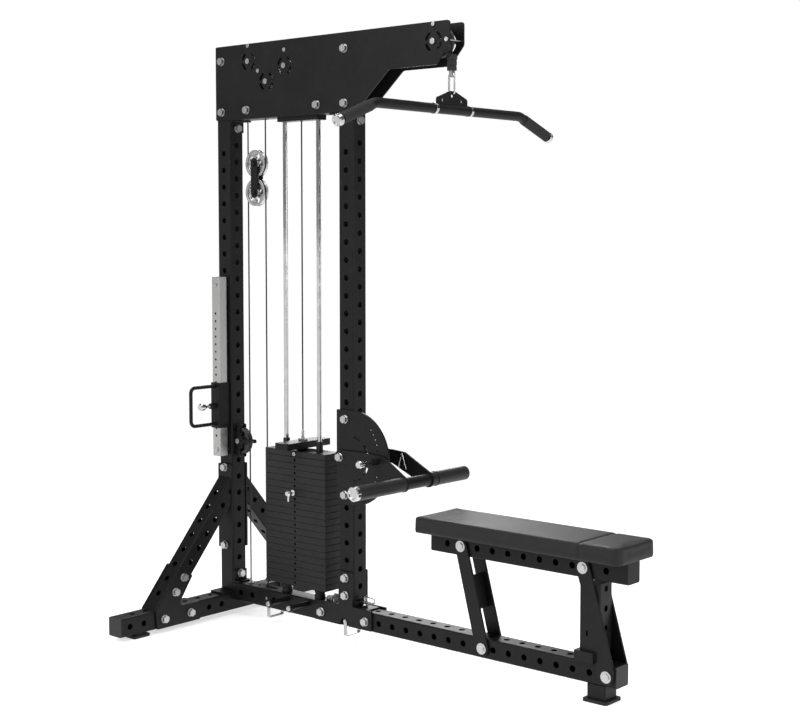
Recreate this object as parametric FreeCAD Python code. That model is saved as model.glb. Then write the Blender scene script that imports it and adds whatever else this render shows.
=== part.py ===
import FreeCAD, Part
import math
import os

# Cable tower with a weight stack, lat bar, low pulley, thigh rollers and a folding bench.
# Millimetres, +Z up, floor at z = 0.  +X runs from the rear upright to the bench and
# -Y is the side with the adjustable rail.  Every shape is drawn with x = 0 at the rear
# upright and moved by CENTRE_X at the end, so the origin sits under the middle.

# ---- driving dimensions -------------------------------------------------------------
TUBE = 76.0            # side of the main square tube
WALL = 3.0             # its wall
CORNER = 6.0           # its outer corner radius
PITCH = 70.0           # spacing of the rows of holes
HOLE_R = 12.0          # radius of those holes
PLATE_T = 8.0          # gussets, arms and links
HEIGHT = 2399.0        # top edge of the boom plates
UPRIGHT_GAP = 700.0    # rear upright to front upright, centre to centre
RAIL_Z = 101.0         # centre height of the floor rail
RAIL_END = 1956.0      # far end of the floor rail
CROSS_Z = 57.0         # centre height of the crossmember
CROSS_HALF = 637.0     # half length of the crossmember
CENTRE_X = 978.0       # middle of the footprint, measured from the rear upright

PULLEY_R = 52.0        # cable centre line on a large pulley
PULLEY_RIM = PULLEY_R + 5.0
LOW_R = 28.0           # cable centre line on a low pulley
LOW_RIM = LOW_R + 3.0
CABLE_R = 3.0

STACK_X = 422.0        # middle of the weight stack
STACK_W = 342.0
STACK_D = 98.0
WEIGHT_PITCH = 26.6
WEIGHT_T = 26.4
WEIGHTS = 20
LIFTED = 6             # weights above the selector pin
STACK_TOP = 716.5      # top of the uppermost plain weight
ROD_SPREAD = 94.3
ROD_R = 9.5

BOOM_END = 1223.0
BOOM_AXLE_X = 1147.0

BENCH_Z = 468.0        # centre height of the bench beam
BENCH_X0 = 1135.0
BENCH_X1 = 2001.0
LINK_TOP_X = 1284.0
LINK_FOOT_X = 1384.0
LINK_SPACING = 540.0
PAD_X0 = 1122.0
PAD_X1 = 2017.0
PAD_W = 250.0
PAD_T = 60.0

SLIDE_Z0 = 684.0
SLIDE_Z1 = 1440.0
ARM_PIVOT = (680.0, 742.0)
ROLLER = (1006.0, 668.0)
INDEX_R = 194.5

# ---- derived ------------------------------------------------------------------------
H = TUBE / 2.0
FRONT_X = UPRIGHT_GAP
RAIL_TOP = RAIL_Z + H
CROSS_TOP = CROSS_Z + H
BEAM_Z = HEIGHT - 269.0               # centre of the crossbeam between the uprights
BOOM_LOW = HEIGHT - 305.0             # lower edge of the boom plates
ANGLE_Z = BEAM_Z - H - 31.0           # bolts of the angles under the crossbeam
BOOM_BOLT_Z = (HEIGHT - 272.0, HEIGHT - 62.0)
TOP_AXLE_Z = HEIGHT - 72.0
PIN_Z = STACK_TOP - WEIGHT_PITCH * (LIFTED - 0.5)
P1 = (109.0 + PULLEY_R, TOP_AXLE_Z)
P2 = (213.0 + PULLEY_R, HEIGHT - 160.0)
P3 = (STACK_X - PULLEY_R, HEIGHT - 104.0)
P4 = (BOOM_AXLE_X, TOP_AXLE_Z)
FLOAT_TOP = (161.0, HEIGHT - 488.5)
FLOAT_BOTTOM = (161.0, HEIGHT - 606.0)
GUIDE = (109.0 - PULLEY_R, 745.0)
LOW_REAR = (213.0 + LOW_R, RAIL_Z)
LOW_FRONT = (FRONT_X + 34.0, RAIL_Z)
LAT_X = BOOM_AXLE_X + PULLEY_R
EXIT_X = LOW_FRONT[0] + LOW_R

V = FreeCAD.Vector
AXES = {"x": V(1, 0, 0), "y": V(0, 1, 0), "z": V(0, 0, 1)}


# ---- drawing helpers ----------------------------------------------------------------
def box(x0, x1, y0, y1, z0, z1):
    return Part.makeBox(x1 - x0, y1 - y0, z1 - z0, V(x0, y0, z0))


def rod(axis, a, b, start, end, radius):
    """Cylinder along an axis; a and b are the other two coordinates in x, y, z order."""
    if axis == "x":
        base = V(start, a, b)
    elif axis == "y":
        base = V(a, start, b)
    else:
        base = V(a, b, start)
    return Part.makeCylinder(radius, end - start, base, AXES[axis])


def fuse(shapes):
    result = shapes[0]
    if len(shapes) > 1:
        result = result.multiFuse(shapes[1:])
    return result.removeSplitter()


def lift(plane, u, v, level):
    """Point (u, v) of a drawing plane at the given level along its normal."""
    if plane == "xz":
        return V(u, level, v)
    if plane == "yz":
        return V(level, u, v)
    return V(u, v, level)


def outline(points, radius, plane="xz", level=0.0):
    """Closed wire through the points with each corner rounded."""
    count = len(points)
    radii = radius if isinstance(radius, list) else [radius] * count
    starts = []
    ends = []
    mids = []
    for i in range(count):
        p = V(points[i][0], points[i][1], 0)
        before = V(points[i - 1][0], points[i - 1][1], 0) - p
        after = V(points[(i + 1) % count][0], points[(i + 1) % count][1], 0) - p
        before.normalize()
        after.normalize()
        half = before.getAngle(after) / 2.0
        r = radii[i]
        if r < 0.01:
            starts.append(p)
            ends.append(p)
            mids.append(None)
            continue
        reach = r / math.tan(half)
        middle = before + after
        middle.normalize()
        starts.append(p + before * reach)
        ends.append(p + after * reach)
        mids.append(p + middle * (r / math.sin(half) - r))
    edges = []
    for i in range(count):
        j = (i + 1) % count
        if mids[i] is not None:
            arc = [lift(plane, q.x, q.y, level) for q in (starts[i], mids[i], ends[i])]
            edges.append(Part.Arc(*arc).toShape())
        a = lift(plane, ends[i].x, ends[i].y, level)
        b = lift(plane, starts[j].x, starts[j].y, level)
        if a.distanceToPoint(b) > 0.001:
            edges.append(Part.LineSegment(a, b).toShape())
    return Part.Wire(Part.__sortEdges__(edges))


NORMAL = {"xz": V(0, 1, 0), "yz": V(1, 0, 0), "xy": V(0, 0, 1)}


def slab(points, radius, plane, level, thick):
    """Flat plate: a rounded outline pushed along the plane's normal."""
    face = Part.Face(outline(points, radius, plane, level))
    return face.extrude(NORMAL[plane] * thick)


def rectangle(u0, u1, v0, v1):
    return [(u0, v0), (u1, v0), (u1, v1), (u0, v1)]


def square_tube(axis, start, end, a, b, wide=TUBE, deep=TUBE, wall=WALL, corner=CORNER):
    """Hollow tube along an axis; wide is along the first other axis, deep the second."""
    plane = {"x": "yz", "y": "xz", "z": "xy"}[axis]
    outer = rectangle(a - wide / 2, a + wide / 2, b - deep / 2, b + deep / 2)
    inner = rectangle(a - wide / 2 + wall, a + wide / 2 - wall, b - deep / 2 + wall, b + deep / 2 - wall)
    body = slab(outer, corner, plane, start, end - start)
    hollow = slab(inner, max(corner - wall, 0.5), plane, start - 1, end - start + 2)
    return body.cut(hollow)


def spin(profile, axis, centre):
    """Turn a (radius, height) profile about an axis through centre."""
    wire = Part.makePolygon([V(r, 0, h) for r, h in profile + profile[:1]])
    solid = Part.Face(wire).revolve(V(0, 0, 0), V(0, 0, 1), 360)
    if axis == "y":
        solid.rotate(V(0, 0, 0), V(1, 0, 0), -90)
    if axis == "x":
        solid.rotate(V(0, 0, 0), V(0, 1, 0), 90)
    solid.translate(V(*centre))
    return solid


def hexagon(axis, across, start, end, a, b):
    radius = across / 2.0 / math.cos(math.pi / 6)
    points = []
    for i in range(6):
        turn = math.pi / 3 * i + math.pi / 6
        points.append((a + radius * math.cos(turn), b + radius * math.sin(turn)))
    plane = {"x": "yz", "y": "xz", "z": "xy"}[axis]
    return slab(points, 0.0, plane, start, end - start)


def bolt(axis, a, b, start, end, shank=8.0, across=27.0, head=12.0, washer=17.0):
    """Through bolt between two outer faces, with a washer and hexagon at both ends."""
    parts = [rod(axis, a, b, start - 3, end + 3, shank)]
    parts.append(rod(axis, a, b, start - 3, start, washer))
    parts.append(rod(axis, a, b, end, end + 3, washer))
    parts.append(hexagon(axis, across, start - 3 - head, start - 3, a, b))
    parts.append(hexagon(axis, across, end + 3, end + 3 + head, a, b))
    return fuse(parts)


def arc_slot(centre, radius, middle, half_angle, half_width, level, thick):
    """Curved slot cutter in an xz plate, with round ends."""
    cx, cz = centre

    def at(r, degrees):
        turn = math.radians(degrees)
        return V(cx + r * math.cos(turn), level, cz + r * math.sin(turn))

    low = middle - half_angle
    high = middle + half_angle
    cap = math.degrees(half_width / radius)
    outside = radius + half_width
    inside = radius - half_width
    edges = [
        Part.Arc(at(outside, low), at(outside, middle), at(outside, high)),
        Part.Arc(at(outside, high), at(radius, high + cap), at(inside, high)),
        Part.Arc(at(inside, high), at(inside, middle), at(inside, low)),
        Part.Arc(at(inside, low), at(radius, low - cap), at(outside, low)),
    ]
    wire = Part.Wire([edge.toShape() for edge in edges])
    return Part.Face(wire).extrude(V(0, thick, 0))


def cable(pieces):
    """Sweep the cable section along tangent lines and arcs, given as lists of (x, z)."""
    edges = []
    for piece in pieces:
        points = [V(x, 0, z) for x, z in piece]
        if len(points) == 2:
            edges.append(Part.LineSegment(points[0], points[1]).toShape())
        else:
            edges.append(Part.Arc(points[0], points[1], points[2]).toShape())
    path = Part.Wire(edges)
    first = edges[0]
    start = first.valueAt(first.FirstParameter)
    heading = first.tangentAt(first.FirstParameter)
    section = Part.Wire([Part.Circle(start, heading, CABLE_R).toShape()])
    return path.makePipeShell([section], True, False)


def on_circle(centre, radius, degrees):
    turn = math.radians(degrees)
    return (centre[0] + radius * math.cos(turn), centre[1] + radius * math.sin(turn))


def wire_ring(centre, half_length, bend, radius, tilt):
    """Closed wire loop in the xz plane: two half circles joined by straight sides."""
    cx, cz = centre
    top = V(cx, 0, cz + half_length - bend)
    bottom = V(cx, 0, cz - half_length + bend)
    side = V(bend, 0, 0)
    up = V(0, 0, bend)
    edges = [
        Part.LineSegment(bottom + side, top + side).toShape(),
        Part.Arc(top + side, top + up, top - side).toShape(),
        Part.LineSegment(top - side, bottom - side).toShape(),
        Part.Arc(bottom - side, bottom - up, bottom + side).toShape(),
    ]
    section = Part.Wire([Part.Circle(bottom + side, V(0, 0, 1), radius).toShape()])
    ring = Part.Wire(edges).makePipeShell([section], True, False)
    ring.rotate(V(cx, 0, cz), V(0, 1, 0), tilt)
    return ring


# ---- frame --------------------------------------------------------------------------
def make_crossmember():
    tube = square_tube("y", -CROSS_HALF, CROSS_HALF, 0, CROSS_Z)
    cuts = []
    for side in (-1, 1):
        for k in (0, 1, 2, 5, 6, 7):
            cuts.append(rod("x", side * (105 + PITCH * k), CROSS_Z, -H - 1, H + 1, HOLE_R))
        for k in (0, 1, 2, 5, 6):
            cuts.append(rod("z", 0, side * (136 + PITCH * k), CROSS_TOP - WALL - 2, CROSS_TOP + 1, HOLE_R))
        for y in (285, 425):
            cuts.append(rod("x", side * y, CROSS_Z, -H - 1, H + 1, 8.5))
    return tube.cut(cuts)


RAIL_BOLTS = (568.0, 806.0)
STIRRUPS = (257.0, 694.0)


def make_rail():
    """Floor rail with openings over its two pulleys."""
    tube = square_tube("x", H, RAIL_END, 0, RAIL_Z)
    cuts = []
    side_holes = [86.0, 155.0, 286.0] + [869.2 + PITCH * k for k in range(0, 15)]
    for x in side_holes:
        if abs(x - LINK_FOOT_X) > 30 and abs(x - LINK_FOOT_X - LINK_SPACING) > 30:
            cuts.append(rod("y", x, RAIL_Z, -H - 1, H + 1, HOLE_R))
    for k in range(0, 15):
        cuts.append(rod("z", 834.2 + PITCH * k, 0, RAIL_TOP - WALL - 2, RAIL_TOP + 1, HOLE_R))
    for x in (120.0, 160.0):
        cuts.append(rod("z", x, 0, RAIL_TOP - WALL - 2, RAIL_TOP + 1, 6.0))
    cuts.append(slab(rectangle(200, 268, -8, 8), 7.5, "xy", RAIL_TOP - 5, 7))
    cuts.append(slab(rectangle(LOW_FRONT[0] - 4, EXIT_X + 14, -8, 8), 7.5, "xy", RAIL_TOP - 5, 7))
    for x in RAIL_BOLTS:
        cuts.append(rod("y", x, RAIL_Z, -H - 1, H + 1, 8.5))
    for x in (LINK_FOOT_X, LINK_FOOT_X + LINK_SPACING):
        cuts.append(rod("y", x, RAIL_Z, -H - 1, H + 1, 10.0))
    for x in (LOW_REAR[0], LOW_FRONT[0]):
        cuts.append(rod("y", x, RAIL_Z, -H - 1, H + 1, 6.0))
    for x in STIRRUPS:
        cuts.append(rod("y", x, 83.0, -H - 1, H + 1, 5.5))
    return tube.cut(cuts)


FOOT_T = 8.0
ROW_Z = 1991.6         # highest open hole of the rear upright
FRONT_TOP = TOP_AXLE_Z + PULLEY_R - 13.0     # the cable to the boom's tip runs above it


def make_rear_upright():
    tube = square_tube("z", CROSS_TOP + FOOT_T, HEIGHT - 9, 0, 0)
    cuts = []
    for k in range(26):
        z = ROW_Z - PITCH * k
        if abs(z - GUIDE[1]) > 60:
            cuts.append(rod("x", 0, z, -H - 1, H + 1, HOLE_R))
        if k < 25 and not 600 < z - 35 < 660 and not 270 < z - 35 < 330:
            cuts.append(rod("y", 0, z - 35, -H - 1, H + 1, HOLE_R))
    for z in BOOM_BOLT_Z + (630.0, 296.0, 709.0, 1408.0):
        cuts.append(rod("y", 0, z, -H - 1, H + 1, 8.5))
    for z in (ANGLE_Z, 173.0):
        cuts.append(rod("x", 0, z, -H - 1, H + 1, 8.5))
    cuts.append(box(H - WALL - 2, H + 1, -13, 13, GUIDE[1] - 62, GUIDE[1] + 62))
    return tube.cut(cuts)


def make_front_upright():
    tube = square_tube("z", RAIL_TOP, FRONT_TOP, FRONT_X, 0)
    cuts = []
    for k in range(26):
        z = ROW_Z - 17.6 - PITCH * k
        cuts.append(rod("x", 0, z, FRONT_X - H - 1, FRONT_X + H + 1, HOLE_R))
        clear = min(abs(z - 35 - s) for s in (893.0, 592.0, 259.0, 189.0))
        if clear > 25 and k < 25 and abs(z - 35 - ARM_PIVOT[1]) > 30:
            cuts.append(rod("y", FRONT_X, z - 35, -H - 1, H + 1, HOLE_R))
    for z in BOOM_BOLT_Z + (893.0, 592.0, 259.0, 189.0):
        cuts.append(rod("y", FRONT_X, z, -H - 1, H + 1, 8.5))
    cuts.append(rod("y", ARM_PIVOT[0], ARM_PIVOT[1], -H - 1, H + 1, 8.5))
    cuts.append(rod("x", 0, ANGLE_Z, FRONT_X - H - 1, FRONT_X + H + 1, 8.5))
    return tube.cut(cuts)


def make_tube_caps():
    """Plastic plugs that close the open tube ends."""
    inner = H - WALL - 0.1
    caps = []
    for side in (-1, 1):
        face = slab(rectangle(-H, H, CROSS_Z - H, CROSS_Z + H), 6, "xz", side * CROSS_HALF, side * 4.0)
        plug = slab(rectangle(-inner, inner, CROSS_Z - inner, CROSS_Z + inner), 4, "xz",
                    side * CROSS_HALF, -side * 15.0)
        caps.append(fuse([face, plug]))
    face = slab(rectangle(-H, H, RAIL_Z - H, RAIL_Z + H), 6, "yz", RAIL_END, 4.0)
    plug = slab(rectangle(-inner, inner, RAIL_Z - inner, RAIL_Z + inner), 4, "yz", RAIL_END, -15.0)
    caps.append(fuse([face, plug]))
    for x, top in ((0.0, HEIGHT - 9), (FRONT_X, FRONT_TOP)):
        face = slab(rectangle(x - H, x + H, -H, H), 6, "xy", top, 4.0)
        plug = slab(rectangle(x - inner, x + inner, -inner, inner), 4, "xy", top, -15.0)
        caps.append(fuse([face, plug]))
    return caps


def make_rubber_parts():
    """Feet under the tubes and the two buffers under the weight stack."""
    parts = []
    for side in (-1, 1):
        low = slab(rectangle(-H, H, side * 532 - 41, side * 532 + 41), 8, "xy", 0, 11.0)
        neck = slab(rectangle(-H + 8, H - 8, side * 532 - 30, side * 532 + 30), 4, "xy", 11, 8.0)
        parts.append(fuse([low, neck]))
    parts.append(slab(rectangle(1827, 1927, -50, 50), 10, "xy", 0, 11.0))
    bottom = STACK_TOP - WEIGHT_PITCH * WEIGHTS
    bore = ROD_R + 0.05
    profile = [(bore, 0), (22, 0), (22, 16), (19, 19), (19, 22), (22, 25), (22, 34), (17, 45), (bore, 45)]
    for x in (STACK_X - ROD_SPREAD, STACK_X + ROD_SPREAD):
        parts.append(spin(profile, "z", (x, 0, bottom - 45.3)))
    return parts


SLOPE = math.atan2(207.1, 176.4)      # rise of a brace above the floor


def make_braces():
    """Diagonal tubes with the plate that bolts them to the rear upright."""
    reference = (93.2, 476.9)
    down = V(0, -math.cos(SLOPE), -math.sin(SLOPE))
    across = V(0, -math.sin(SLOPE), math.cos(SLOPE))
    centre = V(0, -reference[0], reference[1])
    length = 900.0
    tube = square_tube("z", -200.0, length - 200.0, 0, 0)
    cuts = []
    for k in range(-1, 7):
        cuts.append(rod("x", 0, PITCH * k, -H - 1, H + 1, HOLE_R if k < 5 else 8.5))
        cuts.append(rod("y", 0, PITCH * k + 35, -H - 1, H + 1, HOLE_R))
    cuts.append(rod("y", 0, -35, -H - 1, H + 1, HOLE_R))
    tube = tube.cut(cuts)
    turn = FreeCAD.Placement(FreeCAD.Matrix(1, 0, 0, centre.x, 0, across.y, down.y, centre.y,
                                            0, across.z, down.z, centre.z, 0, 0, 0, 1))
    tube.Placement = turn
    room = box(-100, 100, -900, -H - PLATE_T, CROSS_TOP, 1200)
    tube = tube.common(room)
    plate = slab(rectangle(-41, 41, 284, 645), 4, "xz", -H - PLATE_T, PLATE_T)
    for z in (630.0, 296.0):
        plate = plate.cut(rod("y", 0, z, -H - PLATE_T - 1, -H + 1, 8.5))
    near = [tube, plate]
    return near + [part.mirror(V(0, 0, 0), V(0, 1, 0)) for part in near]


GUSSET_BOLTS = [(-285.0, CROSS_Z), (-425.0, CROSS_Z)]
for step in (5 * PITCH, 6 * PITCH):
    GUSSET_BOLTS.append((-93.2 - step * math.cos(SLOPE), 476.9 - step * math.sin(SLOPE)))


def make_gussets():
    """Four plates at the brace feet and two at the foot of the front upright."""
    z0 = CROSS_Z - H
    points = [(-463, z0), (-232, z0), (-232, CROSS_TOP), (-352, CROSS_TOP), (-272, 210), (-330, 259),
              (-468, CROSS_TOP)]
    plates = []
    for x in (-H - PLATE_T, H):
        plate = slab(points, [6, 6, 6, 14, 6, 6, 6], "yz", x, PLATE_T)
        for y, z in GUSSET_BOLTS:
            plate = plate.cut(rod("x", y, z, x - 1, x + PLATE_T + 1, 8.5))
        plates.append(plate)
        plates.append(plate.mirror(V(0, 0, 0), V(0, 1, 0)))
    left, right = FRONT_X - 171, FRONT_X + 138
    low, high = RAIL_Z - H + 3, RAIL_TOP + 8
    points = [(left, low), (672, low), (672, low + 9), (716, low + 9), (716, low), (right, low),
              (right, high), (FRONT_X + H - 1, high), (FRONT_X + H - 1, 284),
              (FRONT_X - H, 284), (FRONT_X - H, high), (left, high)]
    plate = slab(points, [5, 1, 0, 0, 1, 5, 5, 4, 5, 5, 4, 5], "xz", -H - PLATE_T, PLATE_T)
    holes = [rod("y", 694, low + 9, -H - PLATE_T - 1, -H + 1, 21.0)]
    for x, z in ((RAIL_BOLTS[0], RAIL_Z), (RAIL_BOLTS[1], RAIL_Z), (FRONT_X, 259), (FRONT_X, 189)):
        holes.append(rod("y", x, z, -H - PLATE_T - 1, -H + 1, 8.5))
    plate = plate.cut(holes)
    return plates + [plate, plate.mirror(V(0, 0, 0), V(0, 1, 0))]


def angle(x, direction, z, length, height, up, bolt_z):
    """Angle bracket: one leg on an upright, one leg along the rail or beam."""
    x1 = x + direction * 6.0
    leg = box(min(x, x1), max(x, x1), -36, 36, min(z, z + up * height), max(z, z + up * height))
    x2 = x + direction * length
    shelf = box(min(x, x2), max(x, x2), -36, 36, min(z, z + up * 6), max(z, z + up * 6))
    part = fuse([leg, shelf])
    return part.cut(rod("x", 0, bolt_z, min(x, x1) - 1, max(x, x1) + 1, 8.5))


def make_brackets():
    """Angles at the feet and tops of the uprights, the foot plate, the post and the rod bar."""
    beam_low = BEAM_Z - H
    parts = [
        angle(H, 1, RAIL_TOP, 36, 48, 1, 173),
        angle(H, 1, beam_low, 52, 48, -1, ANGLE_Z),
        angle(FRONT_X - H, -1, beam_low, 52, 48, -1, ANGLE_Z),
    ]
    front = box(FRONT_X + H, FRONT_X + H + 71, -36, 36, RAIL_TOP, RAIL_TOP + 6)
    front = fuse([front, box(FRONT_X + H, FRONT_X + H + 6, -36, 36, RAIL_TOP, RAIL_TOP + 30)])
    parts.append(front.cut(slab(rectangle(EXIT_X - 9, EXIT_X + 9, -9, 9), 8, "xy", RAIL_TOP - 1, 8)))
    rear = box(FRONT_X - H - 44, FRONT_X - H, -36, 36, RAIL_TOP, RAIL_TOP + 6)
    parts.append(fuse([rear, box(FRONT_X - H - 6, FRONT_X - H, -36, 36, RAIL_TOP, RAIL_TOP + 30)]))
    bar = box(STACK_X - 114, STACK_X + 114, -25, 25, beam_low - 18, beam_low)
    holes = [rod("z", STACK_X, 0, beam_low - 19, beam_low + 1, 8.0)]
    for x in (STACK_X - ROD_SPREAD, STACK_X + ROD_SPREAD):
        holes.append(rod("z", x, 0, beam_low - 19, beam_low + 1, ROD_R))
    parts.append(bar.cut(holes))
    parts.append(slab(rectangle(-H, H, -101, 101), 5, "xy", CROSS_TOP, FOOT_T))
    parts.append(square_tube("z", 11.0, RAIL_Z - H, 1877.0, 0))
    return parts


LOW_BOLT, HIGH_BOLT = BOOM_BOLT_Z
BOOM_BOLTS = [(0.0, HIGH_BOLT), (0.0, LOW_BOLT), (150.0, BEAM_Z - 1), (551.0, BEAM_Z - 1),
              (FRONT_X, LOW_BOLT), (FRONT_X, HIGH_BOLT)]
KEEPERS = [(P1[0], P1[1] + 63.0), (P2[0] - 45.2, P2[1] + 46.0), (P3[0] + 2.0, P3[1] + 63.0),
           (P4[0] + 1.0, P4[1] + 63.0), (P4[0] + 64.0, P4[1] + 2.0)]
BOOM_T = 6.0


def make_top_plates():
    """Two boom plates cut to the same outline, with a ring of slots at each pulley."""
    arm_low = HEIGHT - 158.0
    front = FRONT_X + H
    points = [(-H, BOOM_LOW), (front + 2, BOOM_LOW), (front + H, BOOM_LOW + 14), (front + 190, arm_low),
              (BOOM_END - 63, arm_low), (BOOM_END, HEIGHT - 86), (BOOM_END, HEIGHT), (-H, HEIGHT)]
    plate = slab(points, [6, 14, 14, 20, 12, 14, 12, 6], "xz", -H - BOOM_T, BOOM_T)
    y0 = -H - BOOM_T - 1
    cuts = []
    for centre in (P1, P2, P3, P4):
        for middle in (36, 144, 216, 324):
            cuts.append(arc_slot(centre, 35.0, middle, 19, 5.8, y0, BOOM_T + 2))
        cuts.append(rod("y", centre[0], centre[1], y0, -H + 1, 6.0))
    for x, z in KEEPERS:
        cuts.append(rod("y", x, z, y0, -H + 1, 3.0))
    for x, z in BOOM_BOLTS:
        cuts.append(rod("y", x, z, y0, -H + 1, 8.5))
    plate = plate.cut(cuts)
    return [plate, plate.mirror(V(0, 0, 0), V(0, 1, 0))]


def make_crossbeam():
    tube = square_tube("x", H, FRONT_X - H, 0, BEAM_Z)
    cuts = []
    for x in (109.0, 213.0, STACK_X):
        cuts.append(slab(rectangle(x - 12, x + 12, -12, 12), 8, "xy", BEAM_Z - H - 1, TUBE + 2))
    for x, z in BOOM_BOLTS[2:4]:
        cuts.append(rod("y", x, z, -H - 1, H + 1, 8.5))
    for x in (STACK_X - ROD_SPREAD, STACK_X + ROD_SPREAD):
        cuts.append(rod("z", x, 0, BEAM_Z - H - 1, BEAM_Z - H + WALL + 1, ROD_R))
    return tube.cut(cuts)


def make_guide_rods():
    rods = []
    for x in (STACK_X - ROD_SPREAD, STACK_X + ROD_SPREAD):
        rods.append(rod("z", x, 0, RAIL_TOP, BEAM_Z - H + WALL, ROD_R))
    return rods


def make_frame_bolts():
    """Every through bolt of the frame, each one a separate solid."""
    outer = H + PLATE_T
    bolts = []
    for x, z in BOOM_BOLTS:
        bolts.append(bolt("y", x, z, -H - BOOM_T, H + BOOM_T))
    for z in (630.0, 296.0):
        bolts.append(bolt("y", 0, z, -outer, outer))
    for y, z in GUSSET_BOLTS:
        bolts.append(bolt("x", y, z, -outer, outer))
        bolts.append(bolt("x", -y, z, -outer, outer))
    for x, z in ((RAIL_BOLTS[0], RAIL_Z), (RAIL_BOLTS[1], RAIL_Z), (FRONT_X, 259), (FRONT_X, 189)):
        bolts.append(bolt("y", x, z, -outer, outer))
    for z in (893.0, 592.0):
        bolts.append(bolt("y", FRONT_X, z, -outer, H))
    pivot = bolt("y", ARM_PIVOT[0], ARM_PIVOT[1], -ARM_Y1 - 0.6, FAR_ARM_Y1 + 0.6)
    bolts.append(fuse([pivot, rod("y", ARM_PIVOT[0], ARM_PIVOT[1], H, FAR_ARM_Y0 - 0.4, 22.0)]))
    bolts.append(bolt("x", 0, 173.0, -H, H + 6))
    bolts.append(bolt("x", 0, ANGLE_Z, -H, H + 6))
    bolts.append(bolt("x", 0, ANGLE_Z, FRONT_X - H - 6, FRONT_X + H))
    for x in (LINK_FOOT_X, LINK_FOOT_X + LINK_SPACING):
        bolts.append(bolt("y", x, RAIL_Z, -LINK_Y1 - 0.5, LINK_Y1 + 0.5, 10.0, 24.0, 4.0, 21.0))
    for z in (709.0, 1408.0):
        bolts.append(slide_bolt(z))
    for x in PEGS:
        head = spin([(0, 0), (11, 0), (11, 4), (8, 8), (0, 8)], "y", (x, PEG_END, 121))
        head = head.mirror(V(x, PEG_END, 121), V(0, 1, 0))
        bolts.append(head)
    for x in STIRRUPS:
        for side in (-1, 1):
            head = spin([(0, -12), (5.5, -12), (5.5, 3.5), (8, 3.5), (8, 6), (6, 8), (0, 8)], "y", (0, 0, 0))
            if side < 0:
                head = head.mirror(V(0, 0, 0), V(0, 1, 0))
            head.translate(V(x, side * H, 83.0))
            bolts.append(head)
    return bolts


def slide_bolt(z):
    """Holds the rail of the carriage to the rear upright, with the spacer between them."""
    shank = rod("y", 0, z, -SLIDE_Y1, H + 3, 6.0)
    head = rod("y", 0, z, -SLIDE_Y1 - 5, -SLIDE_Y1, 11.0)
    spacer = rod("y", 0, z, -SLIDE_Y0, -H, 15.0)
    washer = rod("y", 0, z, H, H + 3, 15.0)
    nut = hexagon("y", 19.0, H + 3, H + 12, 0, z)
    return fuse([shank, head, spacer, washer, nut])


def make_pulley_bolts():
    """Pulley axles with their shoulders, and the bolts that keep the cable in its groove."""
    outer = H + BOOM_T
    parts = []
    for x, z in (P1, P2, P3, P4):
        shoulders = [rod("y", x, z, -H, -12, 10.0), rod("y", x, z, 12, H, 10.0)]
        ends = [rod("y", x, z, -outer - 2, outer + 2, 6.0)]
        for side in (-1, 1):
            ends.append(hexagon("y", 21.0, min(side * outer, side * (outer + 9)),
                                max(side * outer, side * (outer + 9)), x, z))
        parts.append(fuse(shoulders + ends))
    for x, z in KEEPERS:
        shape = [rod("y", x, z, -outer, outer, 3.0)]
        for side in (-1, 1):
            shape.append(rod("y", x, z, min(side * outer, side * (outer + 6)),
                             max(side * outer, side * (outer + 6)), 8.0))
        parts.append(fuse(shape))
    for x, z in (LOW_REAR, LOW_FRONT):
        shoulders = [rod("y", x, z, -H + WALL, -10, 9.0), rod("y", x, z, 10, H - WALL, 9.0)]
        parts.append(fuse(shoulders + [rod("y", x, z, -H, H, 6.0)]))
    x, z = GUIDE
    parts.append(fuse([rod("y", x, z, -19, 19, 6.0), hexagon("y", 21.0, -28, -19, x, z),
                       hexagon("y", 21.0, 19, 28, x, z), rod("y", x, z, -14, -12, 9.0),
                       rod("y", x, z, 12, 14, 9.0)]))
    return parts


def make_pulley(radius, rim, half, bore, windows):
    """Grooved wheel about the Y axis at the origin; windows lighten its web."""
    groove = radius - CABLE_R - 0.05
    hub = 15.0 if radius > 40 else 11.0
    lip = rim - 8.0 if radius > 40 else rim - 7.0
    web = half * 0.45
    profile = [(bore, -half), (hub, -half), (hub + 2, -web), (lip - 5, -web), (lip - 3, -half), (rim, -half),
               (rim, -half + 1.5), (groove + 1.5, -3.4), (groove, -2.0), (groove, 2.0), (groove + 1.5, 3.4),
               (rim, half - 1.5), (rim, half), (lip - 3, half), (lip - 5, web), (hub + 2, web), (hub, half),
               (bore, half)]
    wheel = spin(profile, "y", (0, 0, 0))
    middle = (hub + lip) / 2.0 - 1.0
    size = (lip - hub) / 2.0 - 5.5
    cuts = []
    for i in range(windows):
        turn = 2 * math.pi * i / windows
        cuts.append(rod("y", middle * math.cos(turn), middle * math.sin(turn), -half, half, size))
    if cuts:
        wheel = wheel.cut(cuts)
    return wheel


def place_pulley(wheel, centre):
    copy = wheel.copy()
    copy.translate(V(centre[0], 0, centre[1]))
    return copy


PEGS = (370.0, 487.0)
PEG_END = -150.0


def make_band_pegs():
    pegs = []
    for x in PEGS:
        peg = rod("y", x, 121.0, PEG_END, -H, 10.0)
        pegs.append(fuse([peg, rod("y", x, 121.0, PEG_END, PEG_END + 8, 17.0)]))
    return pegs


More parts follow.
